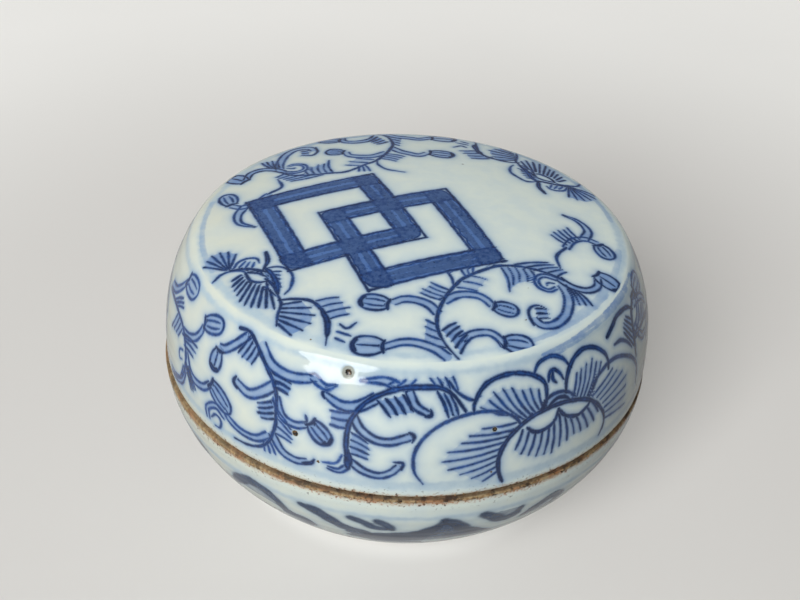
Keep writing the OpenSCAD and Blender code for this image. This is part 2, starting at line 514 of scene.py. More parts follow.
def crossing_scroll(d):
    """A stem that falls from the shoulder, with curled leaves and buds on both sides."""
    d.line([(-41, 1.9), (-38, 1.6), (-35, 2.8), (-31, 5.2), (-28.5, 7), (-27, 9), (-26.5, 12), (-26.4, 14),
            (-27.5, 17), (-29.5, 19), (-33, 20.2), (-37, 20.5)], 0.95, 0.75, 0.8, 0.6)
    d.ribbon([(-37.6, 1.9), (-40.5, 4.5), (-43, 6.2), (-44.7, 6.6)], 1.3, 0.9, 0.65)
    d.bud((-44.8, 7.1), (-45.2, 10.8), 2.7, 0.7, 0.8, 1, 1.2)
    d.comb([(-37.5, 2.3), (-39.2, 5.5)], [(-33.8, 3.6), (-34.8, 6.1)], 4, 0.62, 0.75, 0.85)
    d.ribbon([(-33.5, 2.6), (-30, 4.6), (-26, 5.3), (-22, 5), (-19, 4.3)], 1.5, 0.8, 0.6)
    d.horn([(-19.5, 4.3), (-16.4, 5.3), (-14, 4.6)], 1.2, 0.5)
    d.comb([(-28.8, 5.9), (-24, 6.3)], [(-27.4, 7.8), (-24.4, 8.1)], 3, 0.65, 0.75, 0.95)
    d.ribbon([(-28.2, 7.7), (-31, 9.6), (-34, 10.7), (-37.6, 10)], 1.6, 0.7, 0.6)
    d.line([(-37.2, 10.9), (-38.5, 10.2), (-38, 9.2)], 0.9, 0.85)
    d.comb([(-27.6, 10), (-31, 11.4)], [(-26.9, 13), (-30.3, 13.8)], 4, 0.6, 0.75, 0.95)
    d.ribbon([(-27, 9.3), (-25, 11.9), (-22, 12.6), (-19.4, 12)], 1.2, 0.8, 0.6)
    d.line([(-19.3, 11.4), (-19.8, 10.5)], 0.7, 0.6)
    d.bud((-18.4, 11.4), (-14.2, 14.4), 2.9, 0.7, 0.9, 2, 0.7)
    d.comb([(-26.3, 11.2), (-22.6, 13.8)], [(-26, 15.4), (-22.6, 16)], 4, 0.5, 0.55, 0.7)
    d.ribbon([(-28.2, 16.4), (-31, 18), (-35, 18.3), (-38.6, 17.4), (-40.3, 16.2)], 1.1, 0.8, 0.55)
    d.ribbon([(-40, 17.6), (-43, 16.7), (-46, 18.3), (-45.8, 20.3)], 1.0, 0.8, 0.5)
    d.line([(-44.6, 19.6), (-43, 18.4), (-41.3, 19), (-41.8, 20.6), (-43.4, 20.8)], 0.6, 0.55)
    d.ribbon([(-27, 15.8), (-24.5, 18.3), (-21.5, 19.1), (-19, 18.7)], 1.2, 0.9, 0.65)
    d.line([(-19.6, 19.2), (-17.9, 18.7), (-17.2, 17.8)], 0.9, 0.8)
    d.comb([(-29.2, 18), (-28.8, 19.7)], [(-27.3, 17.6), (-26.2, 19.4)], 3, 0.55, 0.5, 0.4)


def curling_scroll(d):
    """A low stem that winds down to the lid's edge, with three buds."""
    d.line([(-76, 8.8), (-70, 8.4), (-65, 8.6), (-60, 9.6), (-57, 12), (-56.2, 14), (-57, 17), (-60, 19.5),
            (-65, 21)], 0.9, 0.6, 0.8, 0.6)
    d.ribbon([(-56.4, 15.8), (-58.2, 18.9), (-62, 20.3), (-66, 20.6)], 1.3, 0.7, 0.5)
    d.ribbon([(-60, 9.9), (-57, 9.7), (-54, 8.6), (-52.5, 7), (-52.2, 5.8)], 1.2, 0.8, 0.55)
    d.bud((-52.4, 5.1), (-45.8, 3.4), 3.0, 0.6, 0.7)
    d.ribbon([(-75, 7.8), (-71, 7), (-68, 5), (-66.5, 3.4)], 1.2, 0.8, 0.5)
    d.bud((-66.8, 2.9), (-59.6, 3), 3.4, 0.55, 0.6)
    d.comb([(-69, 8), (-65.4, 6.2)], [(-66.6, 8.3), (-63, 7)], 3, 0.6, 0.55, 0.5)
    d.comb([(-65, 8.8), (-67, 12.3)], [(-60.5, 9.8), (-62, 12)], 4, 0.5, 0.6, 0.8)
    d.comb([(-58.5, 10), (-52.6, 9.7)], [(-57.8, 11.8), (-53, 11.9)], 3, 0.6, 0.6, 0.5)
    d.ribbon([(-56.4, 12.4), (-54.5, 14.5), (-51.5, 15.6), (-48, 15.2), (-45.6, 13.7)], 1.2, 0.9, 0.55)
    d.bud((-45.2, 13.2), (-38.4, 16.2), 3.3, 0.65, 0.85, 2)
    d.comb([(-56.2, 14.6), (-53, 18.1)], [(-54.6, 14.6), (-50.8, 17.4)], 4, 0.62, 0.7, 0.9)
    d.line([(-58.2, 12.9), (-60, 13.6), (-59.6, 15), (-58, 14.6)], 0.5, 0.45)


def wall_flower(d):
    """A many-petalled flower seen from the side, as wide as a sixth of the wall."""
    d.line([(5.2, 20), (3.3, 17.5), (3.2, 14), (5.5, 11), (10, 8.8), (16, 7.9), (21, 8.4), (24.3, 9.8),
            (25.6, 11.2)], 0.78, 0.62, 0.35, 1.0)
    d.fan([(24.6, 10.8), (24, 12.2), (22.6, 13.4), (21.6, 15), (20.9, 17), (20.7, 19)],
          [(17.2, 10.7), (14, 12), (11.2, 13.6), (9.2, 16), (12.4, 18.2), (17.6, 20.6)], 9, 0.52, 0.62, 0.4,
          0.02)
    d.line([(15.3, 8), (15.6, 6.2), (18, 3.9), (22, 3), (26, 3.1), (30, 4.2), (32.3, 6), (32, 8.8),
            (31, 9.6)], 1.1, 0.8, 0.6, 0.7)
    d.fan([(24.6, 9.6), (26.6, 10.6), (29, 10), (31, 9.4)],
          [(16.9, 7.3), (18.8, 6), (22, 5.2), (26, 5.6), (30.4, 6.2)], 8, 0.52, 0.65, 0.5, 0.05)
    d.line([(29.8, 4), (31.6, 2.5), (35, 2.1), (38, 3.1), (39.8, 5)], 0.9, 0.65, 0.7, 0.7)
    d.line([(33.2, 5.7), (33.8, 4.6), (35, 4.2), (36.5, 5.2), (37.2, 6.3)], 0.85, 0.75)
    d.line([(34.8, 4.3), (34.4, 5.6), (35.2, 6.4)], 0.8, 0.75)
    d.line([(37.3, 8.4), (38.5, 5.8), (41, 4), (44.5, 3.3), (48, 4), (50.8, 5.8), (51.7, 7.5), (51.3, 8.7)],
           1.1, 0.8, 0.7, 0.7)
    d.fan([(39, 10), (41, 10.7), (44.6, 11)],
          [(41, 6.6), (44, 5.9), (47, 6.2), (49.4, 6.8)], 6, 0.48, 0.62, 0.5, -0.03)
    d.line([(44, 11.3), (47, 9), (51, 8), (55, 8.2), (59, 9.5), (62.5, 11.5), (64.5, 14), (64.5, 17.5)],
           0.9, 0.65, 0.6, 0.6)
    d.fan([(45, 11.6), (47.6, 13.2), (49, 15.2), (49.3, 17.6)],
          [(52, 9.6), (56.2, 11), (58.4, 13.4), (58, 16), (57.6, 18.6)], 7, 0.45, 0.55, 0.4)
    d.line([(22, 21.3), (21, 19), (20.8, 16.5), (22, 14), (24.5, 12), (28, 10.6), (32, 10), (36, 10),
            (40, 10.6), (44, 11.9), (47, 14), (49, 16.5), (49.3, 18.5), (48.2, 20.5)], 1.1, 0.9, 0.7, 0.5)
    d.line([(27.2, 12.2), (28.6, 13.2), (31, 13.5), (33.5, 12.8), (35.1, 10.9)], 0.9, 0.8, 0.8, 0.8)
    d.line([(35.1, 10.9), (36.8, 12.4), (40, 13.4), (43, 12.9), (44.2, 12)], 0.9, 0.8, 0.8, 0.8)
    d.fan([(26, 12.4), (28.8, 13.2), (32, 13.4), (34.9, 11.8), (37.6, 12.9), (41, 13.4), (44.6, 12.4)],
          [(24.3, 15.8), (26.4, 17), (31, 18.4), (35.6, 17.4), (39.6, 17), (43.4, 17), (46.8, 15)], 13, 0.56,
          0.7, 0.4, 0.03)
    d.line([(30.8, 9.6), (32.6, 8.3), (35.4, 8), (38, 8.6), (39.8, 9.9)], 0.75, 0.75, 0.8, 0.7)
    d.line([(32.8, 9.6), (34.8, 8.9), (37, 9.2), (38.4, 10.1)], 0.85, 0.95)
    d.patch([(30.6, 9.9), (33, 8.4), (36, 8.2), (39.6, 10)], 0.9)


def shoulder_sprig(d):
    """The start of the next scroll, tucked under the shoulder."""
    d.line([(53.4, 4), (56.5, 3.2), (59.5, 2.5), (63, 2.6), (66, 3.2), (68, 4.4)], 1.1, 0.85, 0.9, 0.7)
    d.line([(69.8, 2.9), (73.2, 2.8)], 1.1, 0.9)
    d.line([(69.4, 3.4), (66.8, 4.6), (65.4, 6.4), (64.6, 9), (64.4, 12)], 1.2, 0.85, 0.7, 0.5)
    d.fan([(60.4, 5.8), (61.4, 4.7), (63.4, 4)], [(63.9, 9.8), (64.8, 7.6), (66, 5.6)], 5, 0.6, 0.8, 0.8)
    d.line([(55.2, 6), (58, 6.3), (60.6, 7.5), (62.6, 9.4)], 0.85, 0.7)
    d.ribbon([(66.2, 7), (68, 9), (70.4, 10.6), (73, 11)], 1.2, 0.8, 0.6)
    d.ribbon([(69.6, 4), (73, 4.4), (76.4, 5.6), (78.6, 7.4)], 1.3, 0.7, 0.6)


def draw_wall():
    """All the brushwork of the lid's wall."""
    drawing = Drawing(seed=11)
    seen, second, third = 0, 140, 221
    for turn, jitter in ((seen, 0.0), (second, 0.22)):
        on_wall(drawing, turn, jitter)
        curling_scroll(drawing)
        crossing_scroll(drawing)
    for turn, jitter in ((seen, 0.0), (second, 0.22), (third, 0.2)):
        on_wall(drawing, turn, jitter)
        tall_scroll(drawing)
        wall_flower(drawing)
    on_wall(drawing, seen)
    shoulder_sprig(drawing)
    drawing.tint([(33, 1.5), (40, 1.2), (50, 0.7), (62, 0.5), (76, 0.6)], 0.6, 0.85)
    drawing.tint([(36, 2.2), (44, 1.7), (54, 1.3), (70, 1.2)], 0.5, 0.7)
    return drawing


# Motifs of the lid's top panel, seen from above. Their points are millimetres, with y to the back.


def half_flower(d):
    """A flower at the panel's left, cut off by the shoulder ring."""
    d.line([(-31, -19.5), (-30, -18), (-28.5, -17.2), (-27, -17.2), (-25.8, -17.9)], 0.7, 0.6)
    d.fan([(-26.8, -18.4), (-25.7, -20), (-23.8, -20.9), (-21.5, -22.4)],
          [(-28, -19.8), (-27, -22.6), (-25, -25.3), (-22.6, -26.6), (-20.3, -26.7)], 10, 0.68, 0.8, 0.4)
    d.line([(-26, -17.9), (-25.2, -19.6), (-23.8, -20.4), (-22.4, -20.2)], 0.8, 0.75)
    d.line([(-26, -17.8), (-24, -18.1), (-22.4, -19.2)], 0.7, 0.75)
    d.line([(-22.6, -19.6), (-21.2, -21.2), (-20.2, -23.6)], 0.9, 0.8)
    d.line([(-22.4, -20.2), (-21.8, -22.2), (-20.4, -23.8)], 0.6, 0.7)
    d.line([(-23.1, -16.8), (-21.8, -18.4), (-20.7, -20.8), (-20.1, -23.4)], 1.2, 0.7)
    d.patch([(-23, -17), (-20.8, -18.4), (-20, -22.6), (-21.2, -21.8), (-22.6, -19.2)], 1.0)
    d.fan([(-29.4, -16.9), (-28.8, -16.4)],
          [(-33.2, -15.4), (-32.6, -13), (-30.8, -12), (-28.4, -12.6)], 6, 0.6, 0.7, 0.9)
    d.line([(-28.2, -16.6), (-27.7, -15), (-26.4, -14.1), (-24.8, -14.2), (-24.2, -15.4)], 0.65, 0.6)
    d.fan([(-27.3, -16.3), (-25.2, -16.6)], [(-26.6, -14.9), (-25, -15)], 3, 0.5, 0.5, 0.4)
    d.line([(-23.5, -12.6), (-22.9, -15), (-23.3, -17.2)], 1.1, 0.9)
    d.line([(-28.6, -17), (-25.6, -16.9), (-22.6, -17.8)], 0.9, 0.85)
    d.line([(-22.6, -16.8), (-21, -16.6), (-19.3, -17.4), (-18.3, -19.4), (-18.4, -22), (-19.1, -23.4)],
           0.7, 0.65)
    d.fan([(-22.2, -17.8), (-21.4, -20.6)], [(-20.6, -17.8), (-19.9, -21.8)], 5, 0.5, 0.75, 0.7)
    d.line([(-20.2, -23.6), (-19.4, -25.6), (-19.6, -28), (-19.5, -30.3)], 0.7, 0.75)
    d.line([(-19.8, -24.8), (-17.6, -24.6), (-15, -25), (-13.3, -26.6), (-12.2, -28.6), (-11.7, -31),
            (-11.7, -34.3)], 0.9, 0.8, 0.7, 0.3)
    d.line([(-13.2, -27), (-12.1, -29), (-11.7, -31.2), (-11.7, -33.4)], 1.35, 0.95, 0.3, 0.2)
    d.fan([(-19.3, -25.8), (-19.3, -27.8), (-19.3, -30)],
          [(-16.2, -25.2), (-14.4, -28), (-14.8, -30.6), (-17.2, -32.2)], 6, 0.65, 0.75, 0.9)
    d.comb([(-14, -25.1), (-10.6, -24.2)], [(-11.9, -29.2), (-8.9, -28)], 4, 0.6, 0.65, 0.8)
    d.line([(-9.9, -30.2), (-8.8, -31), (-7.5, -29.8)], 0.65, 0.7)
    d.line([(-10.2, -31.7), (-8.2, -32.5)], 0.6, 0.6)
    d.line([(-10.3, -33.1), (-9, -33.8)], 0.6, 0.6)


def panel_scroll(d):
    """The panel's long stem with its leaves, buds and curls."""
    d.line([(8, -35.8), (6.5, -34), (5.4, -32), (4.8, -30), (4.7, -28), (5, -26), (5.6, -24), (6.4, -22),
            (7.5, -20), (8.5, -18.5), (10.3, -16.8), (13, -14.8), (15, -13.8), (18.5, -13.4), (22.5, -14.2),
            (25, -15.4)], 0.85, 0.75, 0.5, 0.8)
    d.ribbon([(4.7, -26.8), (3.4, -25.2), (1.5, -24.3), (-0.5, -24.2), (-2, -25)], 1.4, 0.9, 0.65)
    d.bud((-2.9, -25.5), (-7.4, -24.8), 3.5, 0.75, 0.8, 2, 0.9)
    d.comb([(5.5, -24), (1.9, -22.5)], [(6.3, -21.3), (3.8, -20)], 4, 0.5, 0.6, 0.7)
    d.ribbon([(5.8, -24), (8, -22.3), (10.6, -22), (12.2, -22.8), (13.2, -24)], 1.4, 0.8, 0.55)
    d.bud((13.6, -24.1), (17.3, -24.9), 3.1, 0.75, 0.95, 2)
    d.comb([(9.9, -17.4), (12.4, -17.9)], [(7.7, -20.6), (10.8, -21)], 3, 0.5, 0.5, 0.5)
    d.comb([(9.1, -17.6), (8.2, -15.4)], [(10.3, -16.8), (10.4, -14.6)], 3, 0.55, 0.5, 0.5)
    d.line([(7.2, -20.4), (6.8, -18.2), (5.4, -16.2), (3.2, -15), (1.8, -14.9)], 0.6, 0.6)
    d.ribbon([(6.4, -35.7), (4.4, -34.3), (1.6, -33.4), (-0.6, -33.5), (-3, -34.5)], 1.4, 0.8, 0.6)
    d.bud((-3.2, -34.4), (-8, -34.2), 3.6, 0.8, 0.7, 1, 1.0)
    d.comb([(4.7, -29.4), (3.2, -28.6)], [(6, -34), (2.9, -32.9)], 4, 0.55, 0.65, 0.8)
    d.comb([(5.6, -30.5), (7.4, -28.8)], [(8.4, -34.7), (10, -31.4)], 5, 0.7, 0.8, 1.0)
    d.ribbon([(8.6, -32), (10.4, -30.6), (12.6, -30.1), (14, -30.9), (14.8, -32.3)], 1.3, 0.8, 0.65)
    d.bud((15, -31.7), (19.4, -31.6), 3.6, 0.75, 0.85, 2)
    d.ribbon([(24.2, -15.2), (26, -16.6), (28.5, -17), (30.4, -15.5), (30.7, -13)], 1.2, 0.9, 0.9, 0.9)
    d.bud((30.6, -12.2), (34.2, -14.9), 3.3, 0.85, 0.9, 1, 0.8)
    d.comb([(17, -13.1), (22.6, -11.2)], [(24, -14.5), (25.6, -13)], 5, 0.55, 0.7, 0.8)
    d.fan([(14.8, -14.2), (17, -13.9), (19.6, -14)], [(16, -20), (17.4, -17.9), (20.4, -16.4)], 5, 0.52,
          0.65, 0.8, 0.08)
    d.ribbon([(24, -15.4), (21.7, -14.9), (20.5, -16.2), (20.9, -17.9), (22.4, -18.6), (23.6, -17.6)],
             0.8, 0.7, 0.55)
    d.line([(23.3, -16.6), (22.3, -16.6), (22.1, -17.4)], 0.5, 0.6)
    d.ribbon([(24.6, -16.8), (25.3, -18.6), (25.4, -21), (24.7, -24), (23, -26.3), (21, -27), (19.8, -26)],
             1.4, 0.9, 0.7, 0.9)
    d.line([(19.6, -27.2), (18.9, -25), (19.2, -23.4), (20.4, -22.6), (21.6, -23)], 0.7, 0.8)
    d.comb([(20, -23.4), (21.8, -23.2)], [(20.6, -25.6), (22, -25.2)], 3, 0.6, 0.85, 1.0)
    d.comb([(25.4, -17.4), (26.2, -21.2)], [(26.9, -17.4), (29.2, -20.4)], 4, 0.55, 0.75, 0.9)


def side_sprig(d):
    """A small bud and leaves that fill the panel's side."""
    d.ribbon([(26, -6), (27.4, -3.4), (29.6, -2.2), (31.6, -2.8)], 1.2, 0.9, 0.6)
    d.bud((31.8, -3.3), (33.6, -7), 3.1, 0.7, 0.8)
    d.comb([(26.2, -5), (23.6, -2.6)], [(28.6, -2.6), (26.8, 0.4)], 5, 0.6, 0.65, 0.6)
    d.horn([(29.4, -2.4), (30.4, 0.6), (29, 3.4), (26.4, 4.8)], 1.5, 0.7)
    d.line([(26, -6), (24.2, -9), (24.6, -12.4)], 0.8, 0.7)


def bar(d, start, end, width, load):
    """One straight bar of the middle ornament: a broad pale stroke between two dark edges."""
    a, b = np.array(start, float), np.array(end, float)
    ahead = (b - a) / np.linalg.norm(b - a) * width / 2
    side = np.array([-ahead[1], ahead[0]])
    d.line([a, b], width / PIGMENT, load, 1, 1)
    for across in (side, -side):
        d.line([a + across - ahead, b + across + ahead], 0.75, 0.8, 0.9, 0.9)
    for share in (-0.4, 0.45):
        d.line([a + side * share, b + side * share], 1.9, load + 0.12, 0.7, 0.7)


def lozenge_knot(d):
    """Two interlocked lozenges of broad bars, in the middle of the panel."""
    reach, apart, width = 14.0, 7.0, 4.0
    for centre in (-apart, apart):
        corners = [(centre - reach, 0), (centre, reach), (centre + reach, 0), (centre, -reach)]
        for first, last in zip(corners, corners[1:] + corners[:1]):
            bar(d, first, last, width, 0.46)
    crossing, corner = reach - apart, width * 0.7
    for x, y in ((0, crossing), (0, -crossing), (-apart - reach, 0), (-apart, -reach), (apart, -reach)):
        d.line([(x - corner / 2, y), (x + corner / 2, y)], width, 0.8, 1, 1)


# Each smear on the panel: first and last degree round the lid, radius in millimetres, width and strength
SMEARS = ((30, 62, 36.1, 0.8, 0.5), (48, 84, 35.5, 1.1, 0.35), (-98, -62, 35.8, 0.9, 0.35),
          (100, 146, 35.8, 1.0, 0.4), (-172, -132, 35.6, 1.1, 0.4))


def shoulder_smears(d):
    """Thin cobalt dragged along the shoulder ring by a nearly dry brush."""
    for start, stop, radius, width, load in SMEARS:
        turns = np.radians(np.linspace(start, stop, 8))
        d.tint(np.stack([radius * np.sin(turns), -radius * np.cos(turns)], 1), width, load)


def draw_panel():
    """All the brushwork of the lid's top panel."""
    drawing = Drawing(seed=23)
    shoulder_smears(drawing)
    for sense, jitter in ((1, 0.0), (-1, 0.2)):
        drawing.place((sense, 0), (0, sense), (0, 0), jitter)
        half_flower(drawing)
        panel_scroll(drawing)
        side_sprig(drawing)
    tilt = math.radians(-20)
    drawing.place((math.cos(tilt), math.sin(tilt)), (-math.sin(tilt), math.cos(tilt)), (-6.8, -4.4), 0.1)
    lozenge_knot(drawing)
    return drawing


# Motifs of the bowl. Their points are degrees round it and millimetres below the ledge.

# The bowl's mean radius, which turns degrees round it into millimetres
BOWL_R = 39.0
BOWL_DEGREE = BOWL_R * math.pi / 180
BOWL_WRAP = 360 * BOWL_DEGREE


def bowl_wave(d):
    """A quarter of the bowl's broad, quick brushwork."""
    d.line([(-40, 9.4), (-37, 7), (-33.5, 5.6), (-30, 6), (-27.5, 7.6), (-26, 9.6)], 2.0, 0.85, 0.6, 0.7)
    d.patch([(-38, 9), (-33.5, 6), (-28, 7.8), (-26, 10.6), (-31, 9.6)], 0.8)
    d.line([(-26.6, 9.6), (-24.5, 11.6), (-21.8, 12), (-20.4, 13.8), (-22, 15.4)], 1.9, 0.85)
    d.patch([(-27, 11), (-22, 11.4), (-20.4, 14), (-23, 16), (-27, 14)], 0.8)
    d.line([(-20.4, 5.7), (-17, 6.5), (-14, 8.4), (-11, 10.4), (-8, 11), (-5.4, 12)], 2.1, 0.9, 0.5, 0.7)
    d.line([(-9.4, 6), (-6.5, 7.1), (-4.5, 8.4), (-0.8, 8.7)], 1.3, 0.8)
    d.line([(-3.6, 6.1), (-1.8, 7.2), (-0.5, 8.8)], 1.4, 0.8)
    d.patch([(-7, 7), (-4, 6.8), (-1, 8.6), (-5, 8.6)], 0.9)
    d.line([(-6, 12.4), (-1, 11.6), (5, 10.3), (8.6, 8.6), (10.8, 5.8)], 2.0, 1.0)
    d.line([(10.8, 5.8), (13.4, 7.4), (16, 10), (19, 12), (23, 14)], 2.0, 1.0)
    d.line([(-4, 13.4), (4, 12.4), (10.6, 8.6), (15, 11.4), (20, 14)], 3.4, 0.7, 0.5, 0.5)
    d.line([(-10, 14.6), (0, 14), (9, 11.8), (14, 13)], 2.8, 0.55, 0.5, 0.5)
    d.patch([(-8, 12), (0, 11.2), (8, 9.4), (11, 6.4), (15, 9.8), (22, 14), (12, 14.8), (2, 15.6),
             (-6, 15.4)], 1.0)
    d.line([(-10, 12), (-6.5, 15), (-1, 16.6), (6, 16.4)], 1.7, 0.5)
    d.line([(19.4, 5.6), (22, 7.2), (24.6, 8.9), (27.4, 8.4), (28.4, 6.4)], 1.7, 0.85)
    d.patch([(20, 6), (24, 5.8), (28, 6.2), (27, 8.8), (24, 8.8)], 0.85)
    d.line([(31, 10.4), (34, 8.2), (37.4, 6.8), (39.6, 8.2), (38.6, 10.4)], 1.7, 0.75)
    d.patch([(31, 10.6), (36, 7.4), (39.6, 8.4), (37, 11.4)], 0.75)
    d.line([(-44, 17), (-38, 20), (-30, 20.6), (-22, 18.6), (-14, 19.6), (-6, 22.4), (4, 22), (14, 18.8),
            (24, 18.6), (34, 21), (44, 18.4)], 2.0, 0.7, 0.7, 0.7)


def draw_bowl():
    """All the brushwork of the bowl."""
    drawing = Drawing(seed=37, pigment=1.1)
    for turn, jitter in ((0, 0.0), (90, 0.3), (180, 0.3), (270, 0.3)):
        drawing.place((BOWL_DEGREE, 0), (0, -1), (turn * BOWL_DEGREE, 0), jitter)
        bowl_wave(drawing)
    return drawing


def band_distance(place, middle, width, angle, phase):
    """Distance to a pale painted band that wanders a little round the pot."""
    centre = middle + 0.12 * np.sin(2 * angle + phase) + 0.07 * np.sin(5 * angle + 2 * phase)
    reach = width / 2 * (1 + 0.22 * np.sin(3 * angle + 1.7 * phase))
    return np.abs(place - centre) - reach


# Turned meshes


class Turned:
    """A mesh of rings about the Z axis, in millimetres, with the place of each point on the pot."""

    def __init__(self):
        self.points = []
        self.places = []
        self.faces = []
        self.size = 0

    def add(self, radius, angle, height, travel):
        """Adds points by radius, angle, height and distance along the outline, and returns their numbers."""
        radius, angle, height, travel = np.broadcast_arrays(radius, angle, height, travel)
        self.points.append(np.stack([radius * np.cos(angle), radius * np.sin(angle), height], 1))
        self.places.append(np.stack([radius, angle, travel], 1))
        numbers = np.arange(self.size, self.size + len(radius))
        self.size += len(radius)
        return numbers

    def ring(self, radius, height, travel, count):
        """Adds a ring that starts at the first corner of the panel's grid."""
        angle = -math.pi / 4 + np.arange(count) * (2 * math.pi / count)
        return self.add(radius, angle, height, travel)

    def join(self, inner, outer):
        """Joins two rings of like count, or where one has twice the points of the other."""
        a, b = inner, outer
        a_next, b_next = np.roll(a, -1), np.roll(b, -1)
        if len(a) == len(b):
            self.faces += np.stack([a, b, b_next, a_next], 1).tolist()
        elif len(a) == 2 * len(b):
            self.faces += np.stack([a[::2], b, a[1::2]], 1).tolist()
            self.faces += np.stack([a[1::2], b, b_next, a_next[1::2]], 1).tolist()
        else:
            self.faces += np.stack([a, b[::2], b[1::2]], 1).tolist()
            self.faces += np.stack([a, b[1::2], b_next[1::2], a_next], 1).tolist()

    def close(self, ring, height, travel, upward):
        """Closes a ring with triangles to one middle point."""
        middle = self.add(0.0, 0.0, [height], [travel])[0]
        following = np.roll(ring, -1)
        centre = np.full(len(ring), middle)
        order = [centre, ring, following] if upward else [ring, centre, following]
        self.faces += np.stack(order, 1).tolist()

    def panel(self, radius, height, quads):
        """Fills a disc with an even grid and returns its boundary ring. height gives z at a radius."""
        across, back = np.meshgrid(np.linspace(-1, 1, quads + 1), np.linspace(-1, 1, quads + 1))
        wide = np.abs(across) > np.abs(back)
        reach = np.where(wide, across, back)
        bottom = np.where(reach == 0, 1, reach)
        turn = np.where(wide, back / bottom, 2 - across / bottom) * math.pi / 4
        away = radius * np.abs(reach)
        angle = np.where(reach < 0, turn + math.pi, turn)
        numbers = self.add(away.ravel(), angle.ravel(), height(away.ravel()), 0.0)
        grid = numbers.reshape(quads + 1, quads + 1)
        corners = [grid[:-1, :-1], grid[:-1, 1:], grid[1:, 1:], grid[1:, :-1]]
        self.faces += np.stack([c.ravel() for c in corners], 1).tolist()
        sides = [grid[:-1, -1], grid[-1, :0:-1], grid[:0:-1, 0], grid[0, :-1]]
        return np.concatenate(sides)

    def arrays(self):
        """All the points, and the radius, the angle and the distance along the outline of each."""
        radius, angle, travel = np.vstack(self.places).T
        return np.vstack(self.points), radius, angle, travel

    def rows(self, ring, stretches, softness, roll=0.0):
        """Adds ring after ring along a softened outline. Each stretch is its points, the spacing of its
        rings and their point count. roll softens the first corner further. Returns the last ring and the
        distance at which each stretch starts."""
        outline = np.vstack([np.asarray(points, float) for points, _, _ in stretches])
        hops = np.linalg.norm(np.diff(outline, axis=0), axis=1)
        outline = outline[np.concatenate([[True], hops > 1e-6])]
        travel = travel_of(outline)
        fine = np.linspace(0, travel[-1], int(travel[-1] / FINE_STEP))
        spread = softness / FINE_STEP
        radius = softened(np.interp(fine, travel, outline[:, 0]), spread)
        height = softened(np.interp(fine, travel, outline[:, 1]), spread)
        starts = [0.0]
        for points, _, _ in stretches:
            last = np.asarray(points[-1], float)
            near = np.linalg.norm(outline - last, axis=1)
            near[travel < starts[-1]] = np.inf
            starts.append(travel[near.argmin()])
        if roll:
            share = np.exp(-((fine - starts[1]) / (3 * roll)) ** 2)
            wide = roll / FINE_STEP
            radius += (softened(radius, wide) - radius) * share
            height += (softened(height, wide) - height) * share
        for number, (_, spacing, count) in enumerate(stretches):
            begin, stop = starts[number], starts[number + 1]
            places = np.linspace(begin, stop, max(1, round((stop - begin) / spacing)) + 1)[1:]
            for place in places:
                at_radius = np.interp(place, fine, radius)
                at_height = np.interp(place, fine, height)
                following = self.ring(at_radius, at_height, place, count)
                self.join(ring, following)
                ring = following
        return ring, starts


def hand_thrown(points, wander, squash):
    """Sets turned points a little out of round, as a thrown and fired pot is."""
    radius = np.hypot(points[:, 0], points[:, 1])
    angle = np.arctan2(points[:, 1], points[:, 0])
    stray = np.sin(2 * angle + 0.8) + 0.5 * np.sin(3 * angle + 2.1) + 0.3 * np.sin(5 * angle + 4)
    rings = 0.12 * np.sin(points[:, 2] * 1.9 + angle) + 0.08 * np.sin(points[:, 2] * 3.3 + 2)
    factor = 1 + (wander * (stray + rings) + squash * np.cos(angle - math.pi)) / BOX_R
    factor = np.where(radius > 0.01, factor, 1)
    return np.stack([points[:, 0] * factor, points[:, 1] * factor, points[:, 2]], 1)


def link_object(name, data):
    """A new object in the scene."""
    made = bpy.data.objects.new(name, data)
    bpy.context.scene.collection.objects.link(made)
    return made


def make_piece(name, points, faces, fields, material):
    """A smooth mesh object in metres, with one number per point for each field."""
    mesh = bpy.data.meshes.new(name)
    mesh.from_pydata((np.asarray(points) * MM).tolist(), [], faces)
    mesh.validate()
    for field, values in fields.items():
        attribute = mesh.attributes.new(field, "FLOAT", "POINT")
        attribute.data.foreach_set("value", np.asarray(values, np.float32))
    mesh.polygons.foreach_set("use_smooth", [True] * len(mesh.polygons))
    mesh.materials.append(material)
    mesh.update()
    return link_object(name, mesh)


# Shader building

VALUE, COLOUR, VECTOR = "NodeSocketFloat", "NodeSocketColor", "NodeSocketVector"


